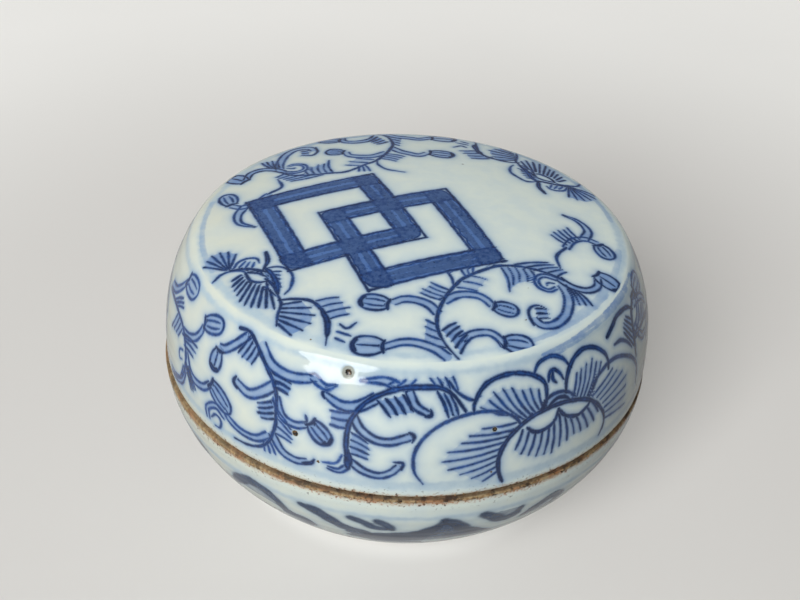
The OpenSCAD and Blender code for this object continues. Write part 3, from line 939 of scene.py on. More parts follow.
class Maker:
    """Short ways to add nodes to a node tree, which it empties first."""

    def __init__(self, tree):
        tree.nodes.clear()
        self.tree = tree

    def put(self, socket, value):
        """Links a socket to another, or sets it to a plain value or to a colour of three numbers."""
        if isinstance(value, bpy.types.NodeSocket):
            self.tree.links.new(value, socket)
        elif socket.type == "RGBA":
            socket.default_value = (*value, 1)
        else:
            socket.default_value = value

    def node(self, kind, inputs=None, **settings):
        """A node with its settings and what its inputs take."""
        made = self.tree.nodes.new("ShaderNode" + kind)
        for name, value in settings.items():
            setattr(made, name, value)
        for name, value in (inputs or {}).items():
            self.put(made.inputs[name], value)
        return made

    def maths(self, operation, first, second=0.0, third=0.0):
        """The result of a sum on up to three values."""
        return self.node("Math", {0: first, 1: second, 2: third}, operation=operation).outputs[0]

    def times(self, first, second):
        """A product."""
        return self.maths("MULTIPLY", first, second)

    def plus(self, first, second):
        """A sum."""
        return self.maths("ADD", first, second)

    def minus(self, first, second):
        """A difference."""
        return self.maths("SUBTRACT", first, second)

    def mix(self, factor, first, second):
        """A blend of two colours."""
        return self.node("Mix", {0: factor, 6: first, 7: second}, data_type="RGBA").outputs[2]

    def noisy(self, vector, scale, detail=2.0, rough=0.5, warp=0.0):
        """Cloudy noise from 0 to 1."""
        inputs = {"Vector": vector, "Scale": scale, "Detail": detail, "Roughness": rough, "Distortion": warp}
        return self.node("TexNoise", inputs).outputs[0]

    def ramp(self, value, low, high, first=0.0, last=1.0):
        """A value eased from first at low to last at high."""
        inputs = {0: value, 1: low, 2: high, 3: first, 4: last}
        return self.node("MapRange", inputs, interpolation_type="SMOOTHSTEP").outputs[0]

    def place(self):
        """Where a point is on the object, in metres."""
        return self.node("TexCoord").outputs["Object"]

    def to_right(self, vector):
        """How far to the right a point is."""
        return self.node("SeparateXYZ", {0: vector}).outputs[0]

    def field(self, name):
        """A number that the mesh's points carry."""
        return self.node("Attribute", attribute_name=name).outputs["Fac"]


def new_material(name):
    """An empty material and the maker of its nodes."""
    material = bpy.data.materials.new(name)
    material.use_nodes = True
    return material, Maker(material.node_tree)


def new_group(name, inputs, outputs):
    """An empty shader node group: the maker of its nodes, what its inputs bring and its output sockets."""
    group = bpy.data.node_groups.new(name, "ShaderNodeTree")
    for sense, sockets in (("INPUT", inputs), ("OUTPUT", outputs)):
        for socket, kind in sockets.items():
            group.interface.new_socket(socket, in_out=sense, socket_type=kind)
    make = Maker(group)
    source = group.nodes.new("NodeGroupInput").outputs
    sink = group.nodes.new("NodeGroupOutput").inputs
    return make, source, sink


def shared_group(name, build):
    """A node group that is built the first time a material asks for it."""
    return bpy.data.node_groups.get(name) or build()


def glaze_group():
    """Glaze that drifts between three tints, with fine bubbles and an uneven gloss. The warm tint gathers
    towards the left, partly as painted warm light from that side.
    """
    make, source, sink = new_group(
        "Glaze Body",
        {"Vector": VECTOR, "Thin": COLOUR, "Thick": COLOUR, "Warm": COLOUR, "Pool": VALUE},
        {"Color": COLOUR, "Roughness": VALUE, "Height": VALUE},
    )
    vector = source["Vector"]
    drift = make.noisy(vector, 38, 3, 0.55)
    mottle = make.noisy(vector, 260, 3, 0.6)
    # Warmer towards the left: partly painted warm light
    leftward = make.ramp(make.plus(make.to_right(vector), make.times(drift, 0.05)), 0.03, -0.02)
    thick = make.plus(make.times(make.ramp(mottle, 0.35, 0.7), 0.45), source["Pool"])
    body = make.mix(thick, source["Thin"], source["Thick"])
    body = make.mix(make.times(leftward, make.ramp(drift, 0.3, 0.7, 0.25, 0.85)), body, source["Warm"])
    bubbles = make.ramp(make.noisy(vector, 2600, 1), 0.64, 0.75, 0, 0.12)
    peel = make.noisy(vector, 520)
    swell = make.times(make.noisy(vector, 130, 1, 0.4), 3.0)
    make.put(sink["Color"], make.mix(bubbles, body, source["Thick"]))
    make.put(sink["Roughness"], make.ramp(mottle, 0.2, 0.8, 0.03, 0.07))
    make.put(sink["Height"], make.plus(peel, swell))
    return make.tree


def brush_group():
    """Cobalt under the glaze: lines, washes, crossings and the haze that bleeds from them."""
    make, source, sink = new_group(
        "Cobalt Brushwork",
        {"Vector": VECTOR, "Ground": COLOUR, **dict.fromkeys(SET_INPUTS, VALUE),
         **dict.fromkeys(("Soft", "Cross", "Ink", "Wash", "Tint", "Band"), VALUE),
         **dict.fromkeys(("Cobalt", "Dark", "Deep", "Thin", "Haze"), COLOUR)},
        {"Color": COLOUR},
    )
    vector = source["Vector"]
    coarse = make.minus(make.noisy(vector, 700), 0.5)
    fine = make.minus(make.noisy(vector, 3200, 1), 0.5)
    ragged = make.plus(make.times(coarse, 0.24), make.times(fine, 0.12))
    cloud = make.noisy(vector, 420, 3, 0.6)
    streak = make.noisy(vector, 1500, 2, 0.6)

    # Distance to the nearest line. Measured from a line's middle it is sharper than measured from its edge,
    # but that holds only close to the line.
    nearest = FAR
    for name in map(str.upper, SET_NAMES):
        from_edge = source["Line " + name]
        from_middle = make.minus(make.maths("ABSOLUTE", source["Across " + name]), source["Half " + name])
        held = make.maths("MAXIMUM", from_middle, make.maths("MULTIPLY_ADD", from_edge, 1.8, -0.18))
        nearest = make.maths("MINIMUM", nearest, make.maths("MINIMUM", from_edge, held))
    edge = make.plus(nearest, ragged)
    outside = make.maths("MAXIMUM", edge, 0.0)

    # The haze round the lines and along the painted bands
    haze = make.times(make.maths("EXPONENT", make.times(outside, -1.0)), 0.85)
    painted = make.mix(haze, source["Ground"], source["Haze"])
    band = make.ramp(make.plus(source["Band"], coarse), 0.5, -0.4)
    painted = make.mix(make.times(band, make.ramp(cloud, 0.2, 0.7, 0.4, 0.85)), painted, source["Haze"])

    # The washes, and the cobalt that has bled from the lines
    washed = make.ramp(make.plus(source["Wash"], make.times(ragged, 1.6)), 0.14, -0.12)
    tint = make.times(source["Tint"], make.ramp(cloud, 0.25, 0.75, 0.55, 1.0))
    painted = make.mix(make.times(washed, tint), painted, source["Thin"])
    bleed = make.maths("EXPONENT", make.times(outside, -3.8))
    painted = make.mix(make.times(bleed, 0.75), painted, source["Thin"])

    # The lines: pale where the brush ran dry, dark where it was full, and palest along their middle
    inked = make.ramp(edge, make.times(source["Soft"], 0.2), make.times(source["Soft"], -0.17))
    charge = make.plus(source["Ink"], make.times(make.minus(streak, 0.5), 0.8))
    charge = make.minus(charge, make.ramp(edge, -0.18, -0.5, 0, 0.35))
    pigment = make.mix(make.ramp(charge, 0.25, 0.9), source["Cobalt"], source["Dark"])
    pigment = make.mix(make.ramp(charge, 0.42, 0.1, 0, 0.55), pigment, source["Thin"])
    painted = make.mix(make.times(inked, 0.94), painted, pigment)

    # Where lines cross, and where specks of pigment lie in them
    crossed = make.ramp(make.plus(source["Cross"], ragged), 0.0, -0.2, 0, 0.4)
    painted = make.mix(make.times(crossed, make.ramp(source["Ink"], 0.1, 0.6)), painted, source["Deep"])
    heaped = make.ramp(make.noisy(vector, 2400, 1), 0.66, 0.74, 0, 0.6)
    make.put(sink["Color"], make.mix(make.times(inked, heaped), painted, source["Deep"]))
    return make.tree


def rim_group():
    """Bare, burnt clay along an edge, with grit and an orange flash where the glaze begins. Its left is
    paler as painted light and its right darker as painted shade, and a painted shadow darkens the seam along
    the glaze's edge.
    """
    make, source, sink = new_group(
        "Bare Rim",
        {"Vector": VECTOR, "Ground": COLOUR, "Edge": VALUE, "Width": VALUE,
         **dict.fromkeys(("Clay", "Burnt", "Pale", "Flash"), COLOUR)},
        {"Color": COLOUR, "Bare": VALUE, "Height": VALUE},
    )
    vector, edge = source["Vector"], source["Edge"]
    burnt, pale, flash = source["Burnt"], source["Pale"], source["Flash"]
    patches = make.noisy(vector, 330, 3, 0.6)
    grain = make.noisy(vector, 1700, 2, 0.6)
    specks = make.noisy(vector, 2100, 1, 0.4, 0.4)

    # On the left the bare clay is wider, and paler and less burnt as painted light from that side; the right
    # keeps its darker clay as painted shade
    leftward = make.ramp(make.to_right(vector), -0.008, -0.03)
    widened = make.maths("MULTIPLY_ADD", leftward, 0.25, 1.0)
    lessened_by_left_light = make.maths("MULTIPLY_ADD", leftward, -0.35, 1.0)

    # Distance past the glaze's uneven edge, negative where the clay is bare
    wavy = make.plus(edge, make.times(make.minus(patches, 0.5), 0.8))
    wavy = make.plus(wavy, make.times(make.minus(grain, 0.5), 0.6))
    past = make.minus(wavy, make.times(source["Width"], widened))
    bare = make.ramp(past, 0.3, -0.2)

    clay = make.mix(make.ramp(grain, 0.38, 0.62, 0, 0.8), source["Clay"], pale)
    clay = make.mix(make.ramp(patches, 0.45, 0.65, 0, 0.6), clay, flash)
    scorched = make.ramp(make.noisy(vector, 620, 3, 0.7), 0.46, 0.64, 0, 0.9)
    clay = make.mix(make.times(scorched, lessened_by_left_light), clay, burnt)
    # Paler on the left: painted light
    clay = make.mix(make.times(leftward, 0.12), clay, pale)
    clay = make.mix(make.ramp(edge, -0.5, -2.0, 0, 0.55), clay, pale)
    # Darkest just inside the glaze's edge, where the lid meets the bowl: partly burnt clay, partly painted
    # shadow in the seam
    burnt_edge_and_seam_shadow = make.times(make.ramp(edge, 0.55, -0.1, 0, 0.75), make.ramp(edge, -2.0, -0.5, 0.2))
    clay = make.mix(make.times(burnt_edge_and_seam_shadow, lessened_by_left_light), clay, burnt)

    # On the glaze beside the clay, from broad and soft to sparse: where each tint starts and is full, in
    # which patches, and what it is
    ground = source["Ground"]
    for start, full, spots, tint in (
        (1.1, 0.0, make.ramp(patches, 0.35, 0.65, 0.2, 0.7), pale),
        (0.75, 0.0, make.ramp(patches, 0.42, 0.62, 0.1, 0.6), flash),
        (1.2, 0.1, make.ramp(specks, 0.52, 0.61, 0, 0.8), flash),
        (2.5, 0.3, make.ramp(specks, 0.66, 0.71, 0, 0.8), burnt),
    ):
        ground = make.mix(make.times(make.ramp(past, start, full), spots), ground, tint)
    make.put(sink["Color"], make.mix(bare, ground, clay))
    make.put(sink["Bare"], bare)
    make.put(sink["Height"], make.times(grain, bare))
    return make.tree


def pit_group():
    """Pinholes burst through the glaze: a rusty heart of burnt clay, darkened further as painted shade in
    the hole, in a greyish ring of painted shade where the crater's slope loses the glaze's highlight.
    """
    make, source, sink = new_group(
        "Kiln Pits",
        {"Vector": VECTOR, "Ground": COLOUR, "Pit": VALUE, "Burnt": COLOUR, "Rust": COLOUR, "Ring": COLOUR},
        {"Color": COLOUR, "Pit": VALUE},
    )
    vector = source["Vector"]
    away = make.plus(source["Pit"], make.times(make.minus(make.noisy(vector, 3000), 0.5), 0.2))
    shade_ring = make.mix(make.ramp(away, 0.5, 0.3, 0, 0.85), source["Ground"], source["Ring"])
    rusty = make.ramp(make.noisy(vector, 2600, 1), 0.5, 0.66, 0, 0.6)
    heart = make.mix(rusty, source["Burnt"], source["Rust"])
    inside = make.ramp(away, 0.1, -0.1)
    make.put(sink["Color"], make.mix(inside, shade_ring, heart))
    make.put(sink["Pit"], inside)
    return make.tree


# Materials


def porcelain(name, colours, cobalt, dark, wash, rim_width, soft):
    """Glazed porcelain with cobalt brushwork, kiln pits and a bare rim. rim_width is how far the clay is
    bare beyond the rim, and soft is how far the brushwork's edges have run in the glaze."""
    material, make = new_material(name)
    vector, band = make.place(), make.field("band_mm")
    glaze = make.node("Group", {
        "Vector": vector, "Thin": colours.glaze, "Thick": colours.glaze_cool, "Warm": colours.glaze_warm,
        "Pool": make.ramp(band, 1.2, -0.2, 0, 0.5),
    }, node_tree=shared_group("Glaze Body", glaze_group)).outputs
    brush = make.node("Group", {
        "Vector": vector, "Ground": glaze["Color"], "Soft": soft, "Cross": make.field("cross_mm"),
        "Ink": make.field("ink"), "Wash": make.field("wash_mm"), "Tint": make.field("tint"), "Band": band,
        "Cobalt": cobalt, "Dark": dark, "Deep": colours.cobalt_deep, "Thin": wash, "Haze": colours.haze,
        **{socket: make.field(name) for socket, name in SET_INPUTS.items()},
    }, node_tree=shared_group("Cobalt Brushwork", brush_group)).outputs
    pits = make.node("Group", {
        "Vector": vector, "Ground": brush["Color"], "Pit": make.field("pit_mm"), "Burnt": colours.pit_heart_and_shade,
        "Rust": colours.clay, "Ring": colours.pit_ring_shade,
    }, node_tree=shared_group("Kiln Pits", pit_group)).outputs
    rim = make.node("Group", {
        "Vector": vector, "Ground": pits["Color"], "Edge": make.field("edge_mm"), "Width": rim_width,
        "Clay": colours.clay, "Burnt": colours.clay_dark, "Pale": colours.clay_light, "Flash": colours.flash,
    }, node_tree=shared_group("Bare Rim", rim_group)).outputs
    rough = make.maths("MAXIMUM", glaze["Roughness"], make.times(rim["Bare"], 0.75))
    rough = make.maths("MAXIMUM", rough, make.times(pits["Pit"], 0.25))
    peel = make.node("Bump", {"Strength": 0.5, "Distance": 0.00004, "Height": glaze["Height"]}).outputs[0]
    grit = make.node("Bump", {"Strength": 0.8, "Distance": 0.0002, "Height": rim["Height"], "Normal": peel})
    shader = make.node("BsdfPrincipled", {
        "Base Color": rim["Color"], "Roughness": rough, "IOR": 1.5, "Normal": grit.outputs[0],
    })
    make.node("OutputMaterial", {"Surface": shader.outputs[0]})
    return material


def paste_material(colours):
    """Oily vermilion paste with short silky fibres worked through it, and painted shade in its folds."""
    material, make = new_material("vermilion_paste")
    vector = make.place()
    stretch = {"Vector": vector, "Scale": (1.0, 2.6, 1.6), "Rotation": (0.2, 0.4, 0.6)}
    fibres = make.noisy(make.node("Mapping", stretch).outputs[0], 1300, 5, 0.7, 1.6)
    clumps = make.noisy(vector, 240, 4, 0.6, 0.6)
    body = make.mix(make.ramp(clumps, 0.35, 0.7), colours.paste, colours.paste_dark_and_fold_shade)
    body = make.mix(make.ramp(fibres, 0.52, 0.72, 0, 0.7), body, colours.paste_light)
    # Darker in the folds: painted shade
    body = make.mix(make.ramp(make.field("fold"), 0.2, 0.9, 0, 0.8), body, colours.paste_dark_and_fold_shade)
    bump = make.node("Bump", {"Strength": 0.9, "Distance": 0.0004, "Height": make.plus(fibres, clumps)})
    shader = make.node("BsdfPrincipled", {
        "Base Color": body, "Roughness": make.ramp(fibres, 0.3, 0.7, 0.28, 0.62), "Specular IOR Level": 0.6,
        "Normal": bump.outputs[0],
    })
    make.node("OutputMaterial", {"Surface": shader.outputs[0]})
    return material


def grit_material(colours):
    """Burnt kiln grit that stuck to a rim."""
    material, make = new_material("kiln_grit")
    vector = make.place()
    body = make.mix(make.ramp(make.noisy(vector, 900), 0.4, 0.6), colours.clay_dark, colours.clay)
    bump = make.node("Bump", {"Strength": 0.6, "Distance": 0.0001, "Height": make.noisy(vector, 6000)})
    shader = make.node("BsdfPrincipled", {"Base Color": body, "Roughness": 0.7, "Normal": bump.outputs[0]})
    make.node("OutputMaterial", {"Surface": shader.outputs[0]})
    return material


# Distances from the box's axis, in metres, between which the table top changes: from a painted pool of light
# right beside the foot to painted shade round the box, from that painted shade to pale again further out,
# and from there into the plain background
PAINTED_LIGHT_POOL = (0.028, 0.033)
PAINTED_SHADE_ENDS = (0.09, 0.25)
FADE = (0.22, 0.9)
# Share of the pale tint in the painted pool of light beside the foot
PAINTED_LIGHT_POOL_SHARE = 0.65
# Share of the table top's own tint that the glaze mirrors
MIRRORED = 0.52
# Brightness of the table top's faint mottling
MOTTLED = 0.95


def floor_material(tint, dim, bounce):
    """A matt table top, very faintly mottled, with painted shade round the box and a painted pool of light
    right beside its foot. It throws back less light than it shows.
    """
    material, make = new_material("pale_table")
    vector = make.place()
    away = make.node("VectorMath", {0: vector}, operation="LENGTH").outputs["Value"]
    # A painted pool of light right beside the foot, then painted shade round the box that gives way to the
    # pale tint further out
    painted_light_pool = make.ramp(away, PAINTED_LIGHT_POOL[1], PAINTED_LIGHT_POOL[0], 0, PAINTED_LIGHT_POOL_SHARE)
    pale = make.maths("MAXIMUM", painted_light_pool, make.ramp(away, *PAINTED_SHADE_ENDS))
    body = make.mix(make.noisy(vector, 14, 3), tint, [channel * MOTTLED for channel in tint])
    # The dim tint is the painted shade round the box
    body = make.mix(pale, dim, body)
    path = make.node("LightPath").outputs
    seen = make.maths("MAXIMUM", path["Is Camera Ray"], make.times(path["Is Glossy Ray"], MIRRORED))
    shader = make.node("BsdfPrincipled", {"Base Color": make.mix(seen, bounce, body), "Roughness": 0.55})
    plain = make.node("Emission", {"Color": tint, "Strength": 1.0})
    faded = make.ramp(make.maths("DIVIDE", 1.0, away), 1 / FADE[0], 1 / FADE[1])
    faded = make.times(path["Is Camera Ray"], faded)
    surface = make.node("MixShader", {0: faded, 1: shader.outputs[0], 2: plain.outputs[0]})
    make.node("OutputMaterial", {"Surface": surface.outputs[0]})
    return material


# Pieces

# Quads across each even grid, and points round each shell's finest rings
LID_QUADS = 176
LID_AROUND = 4 * LID_QUADS
BOWL_AROUND = 640
PASTE_QUADS = 130
PASTE_AROUND = 4 * PASTE_QUADS

# Radius of the smallest ring, round a closed middle, and distance that stands for no bare rim nearby
HUB = 1.2
NO_RIM = 30.0

# Pinholes: place on the unrolled surface, radius of the crater in millimetres, and share of the grey ring of
# painted shade
WALL_PITS = (
    (-12 * DEGREE, -2.4, 1.2, 1), (-21.8 * DEGREE, -14.2, 1.1, 0.2), (19.8 * DEGREE, -11.2, 0.9, 0.2),
    (-16.4 * DEGREE, -18.1, 0.6, 0.3), (19.4 * DEGREE, -19, 0.5, 0.2), (11.5 * DEGREE, -21, 0.4, 0.2),
    (133 * DEGREE, -13, 0.4, 0.2), (-118 * DEGREE, -16.5, 0.35, 0.2),
)
PANEL_PITS = (
    (18.4, -26.2, 0.45, 0.3), (19.1, -18.7, 0.3, 0.3), (-14, -33.2, 0.4, 0.3), (9, 21, 0.45, 0.3),
    (-22, 8, 0.4, 0.3),
)
BOWL_PITS = (
    (40 * BOWL_DEGREE, -2.9, 0.4, 0.2), (-47 * BOWL_DEGREE, -9, 0.25, 0.2),
    (150 * BOWL_DEGREE, -12, 0.4, 0.2),
)
# Where a crater's rusty heart ends, as a share of its radius
HEART = 0.45


def pit_distance(spots, pits):
    """Distance from each point to the nearest pinhole's rusty heart, as a share of its grey ring."""
    away = np.full(len(spots), FAR)
    for x, y, radius, ring in pits:
        away = np.minimum(away, (np.hypot(spots[:, 0] - x, spots[:, 1] - y) / radius - HEART) / ring)
    return away


def dimpled(points, normals, pits, spots):
    """Presses a small crater with a faint lip into the surface at each pit. spots are the points on the
    unrolled surface."""
    for x, y, radius, _ in pits:
        away = np.hypot(spots[:, 0] - x, spots[:, 1] - y) / radius
        crater = 0.28 * radius * (1 - ease(0.1, 1.0, away))
        lip = 0.015 * radius * np.exp(-((away - 1.25) / 0.25) ** 2)
        points = points - normals * (crater - lip)[:, None]
    return points


def surface_normals(points, faces):
    """Unit normals at the points of a mesh."""
    mesh = bpy.data.meshes.new("normals")
    mesh.from_pydata(points.tolist(), [], faces)
    normals = np.zeros(len(points) * 3, np.float32)
    mesh.vertices.foreach_get("normal", normals)
    bpy.data.meshes.remove(mesh)
    return normals.reshape(-1, 3).astype(float)


def unpainted(count):
    """The brushwork's fields for points without paint: no ink or width, and everything far away."""
    empty = ["ink", "tint", *("half_" + name for name in SET_NAMES)]
    fields = {name: np.zeros(count) for name in empty}
    for name in ("cross_mm", "wash_mm", "band_mm", "pit_mm", *SET_INPUTS.values()):
        if name not in empty:
            fields[name] = np.full(count, FAR)
    return fields


def unrolled(angle, below, degree):
    """Places on a wall laid flat: distance round it from the front, and height from its upper edge."""
    front = np.angle(np.exp(1j * (angle + math.pi / 2)))
    return np.stack([np.degrees(front) * degree, -below], 1)


def paint_over(points, normals, fields, part, spots, drawing, wrap, pits):
    """Lays a drawing and its pinholes over part of a shell. spots are the places of its points laid flat."""
    for name, values in brushed(drawing, spots[part], wrap).items():
        fields[name][part] = values
    fields["pit_mm"][part] = pit_distance(spots[part], pits)
    points[part] = dimpled(points[part], normals[part], pits, spots[part])


# How far the top panel's even grid ends short of the shoulder ring, and the groove's place inside the
# ring and its width
GRID_SHORT = 3.4
GROOVE_IN = 0.9
GROOVE_WIDTH = 0.55
# Share of the lid's edge that its outer, finer rings cover
EDGE_SHARE = 0.4


def lid_profile(shape):
    """The lid's outline as stretches from the edge of the panel's grid to its ceiling's middle, with the
    radius and the height function of that grid."""
    shoulder_h, shoulder_in = shape.shoulder_height / MM, shape.shoulder_inset / MM
    shoulder_r = LID_R - shoulder_in
    crown = LID_H - shoulder_h
    wall_t, crown_t = shape.lid_wall / MM, shape.crown_wall / MM
    band, out = shape.bead_band / MM, shape.bead_out / MM
    groove = shape.groove_depth / MM
    grid_r = shoulder_r - GRID_SHORT

    def top(radius):
        dip = groove * np.exp(-(((radius - shoulder_r + GROOVE_IN) / GROOVE_WIDTH) ** 2))
        return RIM_Z + LID_H - crown * (radius / shoulder_r) ** 2 - dip

    def wall(z):
        return LID_R - shoulder_in * (z / shoulder_h) ** shape.lid_bend

    def inner_wall(z):
        slope = -shoulder_in * shape.lid_bend / shoulder_h * (z / shoulder_h) ** (shape.lid_bend - 1)
        square = np.sqrt(1 + slope**2)
        return wall(z) - wall_t / square, z + wall_t * slope / square

    radii = np.linspace(grid_r, shoulder_r, 24)
    falls = np.linspace(shoulder_h, 0, 90)
    bead = np.where(falls > shoulder_h - band, out * np.sin(math.pi * (shoulder_h - falls) / band) ** 2, 0)
    edge_r = LID_R - wall_t * EDGE_SHARE
    bore, bore_z = inner_wall(np.linspace(0, shoulder_h, 40))
    low = bore_z < LID_H - crown_t - crown * (bore / shoulder_r) ** 2 - 0.3
    inner = np.stack([bore[low], RIM_Z + bore_z[low]], 1)
    ceiling_r = np.linspace(inner[-1, 0] - 0.4, HUB, 20)
    ceiling = np.stack([ceiling_r, top(ceiling_r) - crown_t], 1)
    stretches = [
        (np.stack([radii, top(radii)], 1), 0.34, LID_AROUND),
        (np.stack([wall(falls) + bead, RIM_Z + falls], 1), 0.37, LID_AROUND),
        ([(LID_R, RIM_Z), (edge_r, RIM_Z)], 0.4, LID_AROUND),
        ([(edge_r, RIM_Z), (LID_R - wall_t, RIM_Z), inner[2]], 0.8, LID_AROUND // 2),
        (inner[2:], 1.4, LID_AROUND // 4),
        (ceiling, 2.2, LID_AROUND // 8),
    ]
    return stretches, grid_r, top


def build_lid(shape, colours):
    """The lid: an even grid over its top panel, then rings down its wall and up inside it."""
    pot = Turned()
    stretches, grid_r, top = lid_profile(shape)
    ring = pot.panel(grid_r, top, LID_QUADS)
    ring, starts = pot.rows(ring, stretches, shape.softness / MM, shape.shoulder_roll / MM)
    pot.close(ring, top(0) - shape.crown_wall / MM, starts[-1], upward=False)
    points, radius, angle, travel = pot.arrays()
    shoulder, edge, bore = starts[1], starts[2], starts[4]
    below = travel - shoulder
    on_panel = below < -0.2
    outside = (travel <= edge + 0.3) & ~on_panel

    fields = unpainted(len(points))
    normals = surface_normals(points, pot.faces)
    plan, flat = points[:, :2].copy(), unrolled(angle, below, DEGREE)
    paint_over(points, normals, fields, on_panel, plan, draw_panel(), 0.0, PANEL_PITS)
    paint_over(points, normals, fields, outside, flat, draw_wall(), WALL_WRAP, WALL_PITS)
    shoulder_r = LID_R - shape.shoulder_inset / MM
    upper_band = band_distance(below, 1.6, 0.8, angle, 2.0)
    lower_band = band_distance(below, 20.6, 1.3, angle, 3.0)
    fields["band_mm"][on_panel] = band_distance(radius, shoulder_r - 1.5, 1.0, angle, 1.0)[on_panel]
    fields["band_mm"][outside] = np.minimum(upper_band, lower_band)[outside]
    fields["edge_mm"] = np.where(on_panel | (travel >= bore), NO_RIM, edge - travel)
    points = hand_thrown(points, shape.wander / MM, -0.12)
    paint = porcelain("lid_porcelain", colours, colours.cobalt, colours.cobalt_dark, colours.wash,
                      rim_width=0.0, soft=1.0)
    piece = make_piece("lid_shell", points, pot.faces, fields, paint)
    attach(piece, "lid")
    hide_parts("lid")
    return piece


def bowl_wall(shape, z):
    """The radius of the bowl's outside at a height above the table, and how fast it grows there."""
    inset, bowl_h = shape.bowl_inset / MM, RIM_Z - shape.foot_height / MM
    fall = (RIM_Z - z) / bowl_h
    slope = inset * shape.bowl_bend / bowl_h * fall ** (shape.bowl_bend - 1)
    return BOX_R - inset * fall**shape.bowl_bend, slope


def bowl_profile(shape):
    """The bowl's outline as stretches, from the middle of its floor round to the middle of its recess."""
    foot_h, wall_t = shape.foot_height / MM, shape.bowl_wall / MM
    lip_r = LID_R - shape.lid_wall / MM - shape.lip_gap / MM
    neck_r = lip_r - shape.lip_wall / MM
    bottom_r, _ = bowl_wall(shape, foot_h)
    foot_r = bottom_r - shape.foot_inset / MM
    ring_r = foot_r - shape.foot_width / MM
    recess = foot_h + shape.recess_extra / MM

    rises = np.linspace(foot_h, RIM_Z, 60)
    outer, slope = bowl_wall(shape, rises)
    square = np.sqrt(1 + slope**2)
    inner_r, inner_z = outer - wall_t / square, rises + wall_t * slope / square
    kept = (inner_z > PASTE_FLOOR) & (inner_r < neck_r)
    hollow = np.stack([inner_r[kept], inner_z[kept]], 1)
    neck_z = np.interp(neck_r, inner_r, inner_z)
    floor_r = hollow[0, 0]
    falls = np.linspace(RIM_Z, foot_h, 60)
    ledge_r = lip_r + 1.4
    half, quarter, eighth = BOWL_AROUND // 2, BOWL_AROUND // 4, BOWL_AROUND // 8
    stretches = [
        ([(HUB, PASTE_FLOOR), (floor_r * 0.5, PASTE_FLOOR)], 4, eighth),
        ([(floor_r * 0.5, PASTE_FLOOR), (floor_r, PASTE_FLOOR)], 3, quarter),
        ([*hollow, (neck_r, neck_z)], 1.2, quarter),
        ([(neck_r, neck_z), (neck_r, LIP_TOP)], 0.7, half),
        ([(neck_r, LIP_TOP), (lip_r, LIP_TOP), (lip_r, RIM_Z), (ledge_r, RIM_Z)], 0.5, half),
        ([(ledge_r, RIM_Z), (BOX_R, RIM_Z)], 0.36, BOWL_AROUND),
        (np.stack([bowl_wall(shape, falls)[0], falls], 1), 0.38, BOWL_AROUND),
        ([(bottom_r, foot_h), (foot_r, foot_h), (foot_r, 0), (ring_r, 0)], 0.55, half),
        ([(ring_r, 0), (ring_r, recess), (ring_r * 0.5, recess)], 0.9, quarter),
        ([(ring_r * 0.5, recess), (HUB, recess)], 3, eighth),
    ]
    return stretches, recess


# Where the bowl's glaze ends: above the foot of its neck, below its outer bottom edge, and inside the foot
# ring. The ledge and the lip between them are bare, but never count as further than so far from the glaze.
NECK_GLAZED = 1.5
FOOT_GLAZED = 1.9
RECESS_BARE = 2.0
BARE_DEPTH = 3.0


def build_bowl(shape, colours):
    """The bowl: rings from the middle of its floor, over the lip and ledge, and down to the foot."""
    pot = Turned()
    stretches, recess = bowl_profile(shape)
    first = pot.ring(HUB, PASTE_FLOOR, 0.0, BOWL_AROUND // 8)
    pot.close(first, PASTE_FLOOR, 0.0, upward=True)
    ring, starts = pot.rows(first, stretches, shape.softness / MM)
    pot.close(ring, recess, starts[-1], upward=False)
    points, _, angle, travel = pot.arrays()
    neck, ledge, foot, inside_foot = starts[3], starts[6], starts[7], starts[8]
    below = travel - ledge
    outside = (travel >= ledge - 0.2) & (travel <= foot + 0.5)

    fields = unpainted(len(points))
    normals = surface_normals(points, pot.faces)
    flat = unrolled(angle, below, BOWL_DEGREE)
    paint_over(points, normals, fields, outside, flat, draw_bowl(), BOWL_WRAP, BOWL_PITS)
    upper_band = band_distance(below, 4.9, 0.9, angle, 1.5)
    lower_band = band_distance(below, foot - ledge - 2, 1.0, angle, 0.5)
    fields["band_mm"][outside] = np.minimum(upper_band, lower_band)[outside]
    fields["edge_mm"] = np.select(
        [travel >= inside_foot + RECESS_BARE, travel > foot, below > 0],
        [NO_RIM, foot + FOOT_GLAZED - travel, below],
        np.maximum(neck + NECK_GLAZED - travel, np.maximum(below, -BARE_DEPTH)),
    )
    points = hand_thrown(points, shape.wander / MM, 0.0)
    # The bowl's brushwork takes the greyer, darker cobalt: painted shade
    paint = porcelain("bowl_porcelain", colours, colours.shaded, colours.shaded_dark, colours.shaded_wash,
                      rim_width=0.75, soft=2.4)
    piece = make_piece("bowl_shell", points, pot.faces, fields, paint)
    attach(piece, "bowl")
    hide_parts("base")
    return piece


# How deep the paste is kneaded, how high its lumps and crumbs stand, and the share of that at its rim
KNEADED = 0.9
LUMPS = 0.7
CRUMBS = 0.16
RIM_SHARE = 0.15


def kneading(points, radius, angle):
    """How far kneading lifts each point of the paste, and how deep the point lies in a fold."""
    lifts, folds = np.zeros(len(points)), np.zeros(len(points))
    for k, point in enumerate(points):
        spot = Vector(point)
        swirl = 2 * angle[k] + 0.5 * radius[k] + 3 * noise.noise(spot * 0.09)
        ridge = 0.5 + (math.sin(swirl) * 0.5) * min(1.0, radius[k] / 9) + 0.3 * noise.noise(spot * 0.2)
        lumps = noise.fractal(spot * 0.16, 1.0, 2.0, 4)
        crumbs = noise.fractal(spot * 0.9 + Vector((7, 3, 1)), 0.9, 2.0, 3)
        folds[k] = 1 - ridge
        lifts[k] = -KNEADED * folds[k] + LUMPS * lumps + CRUMBS * crumbs
    return lifts, folds


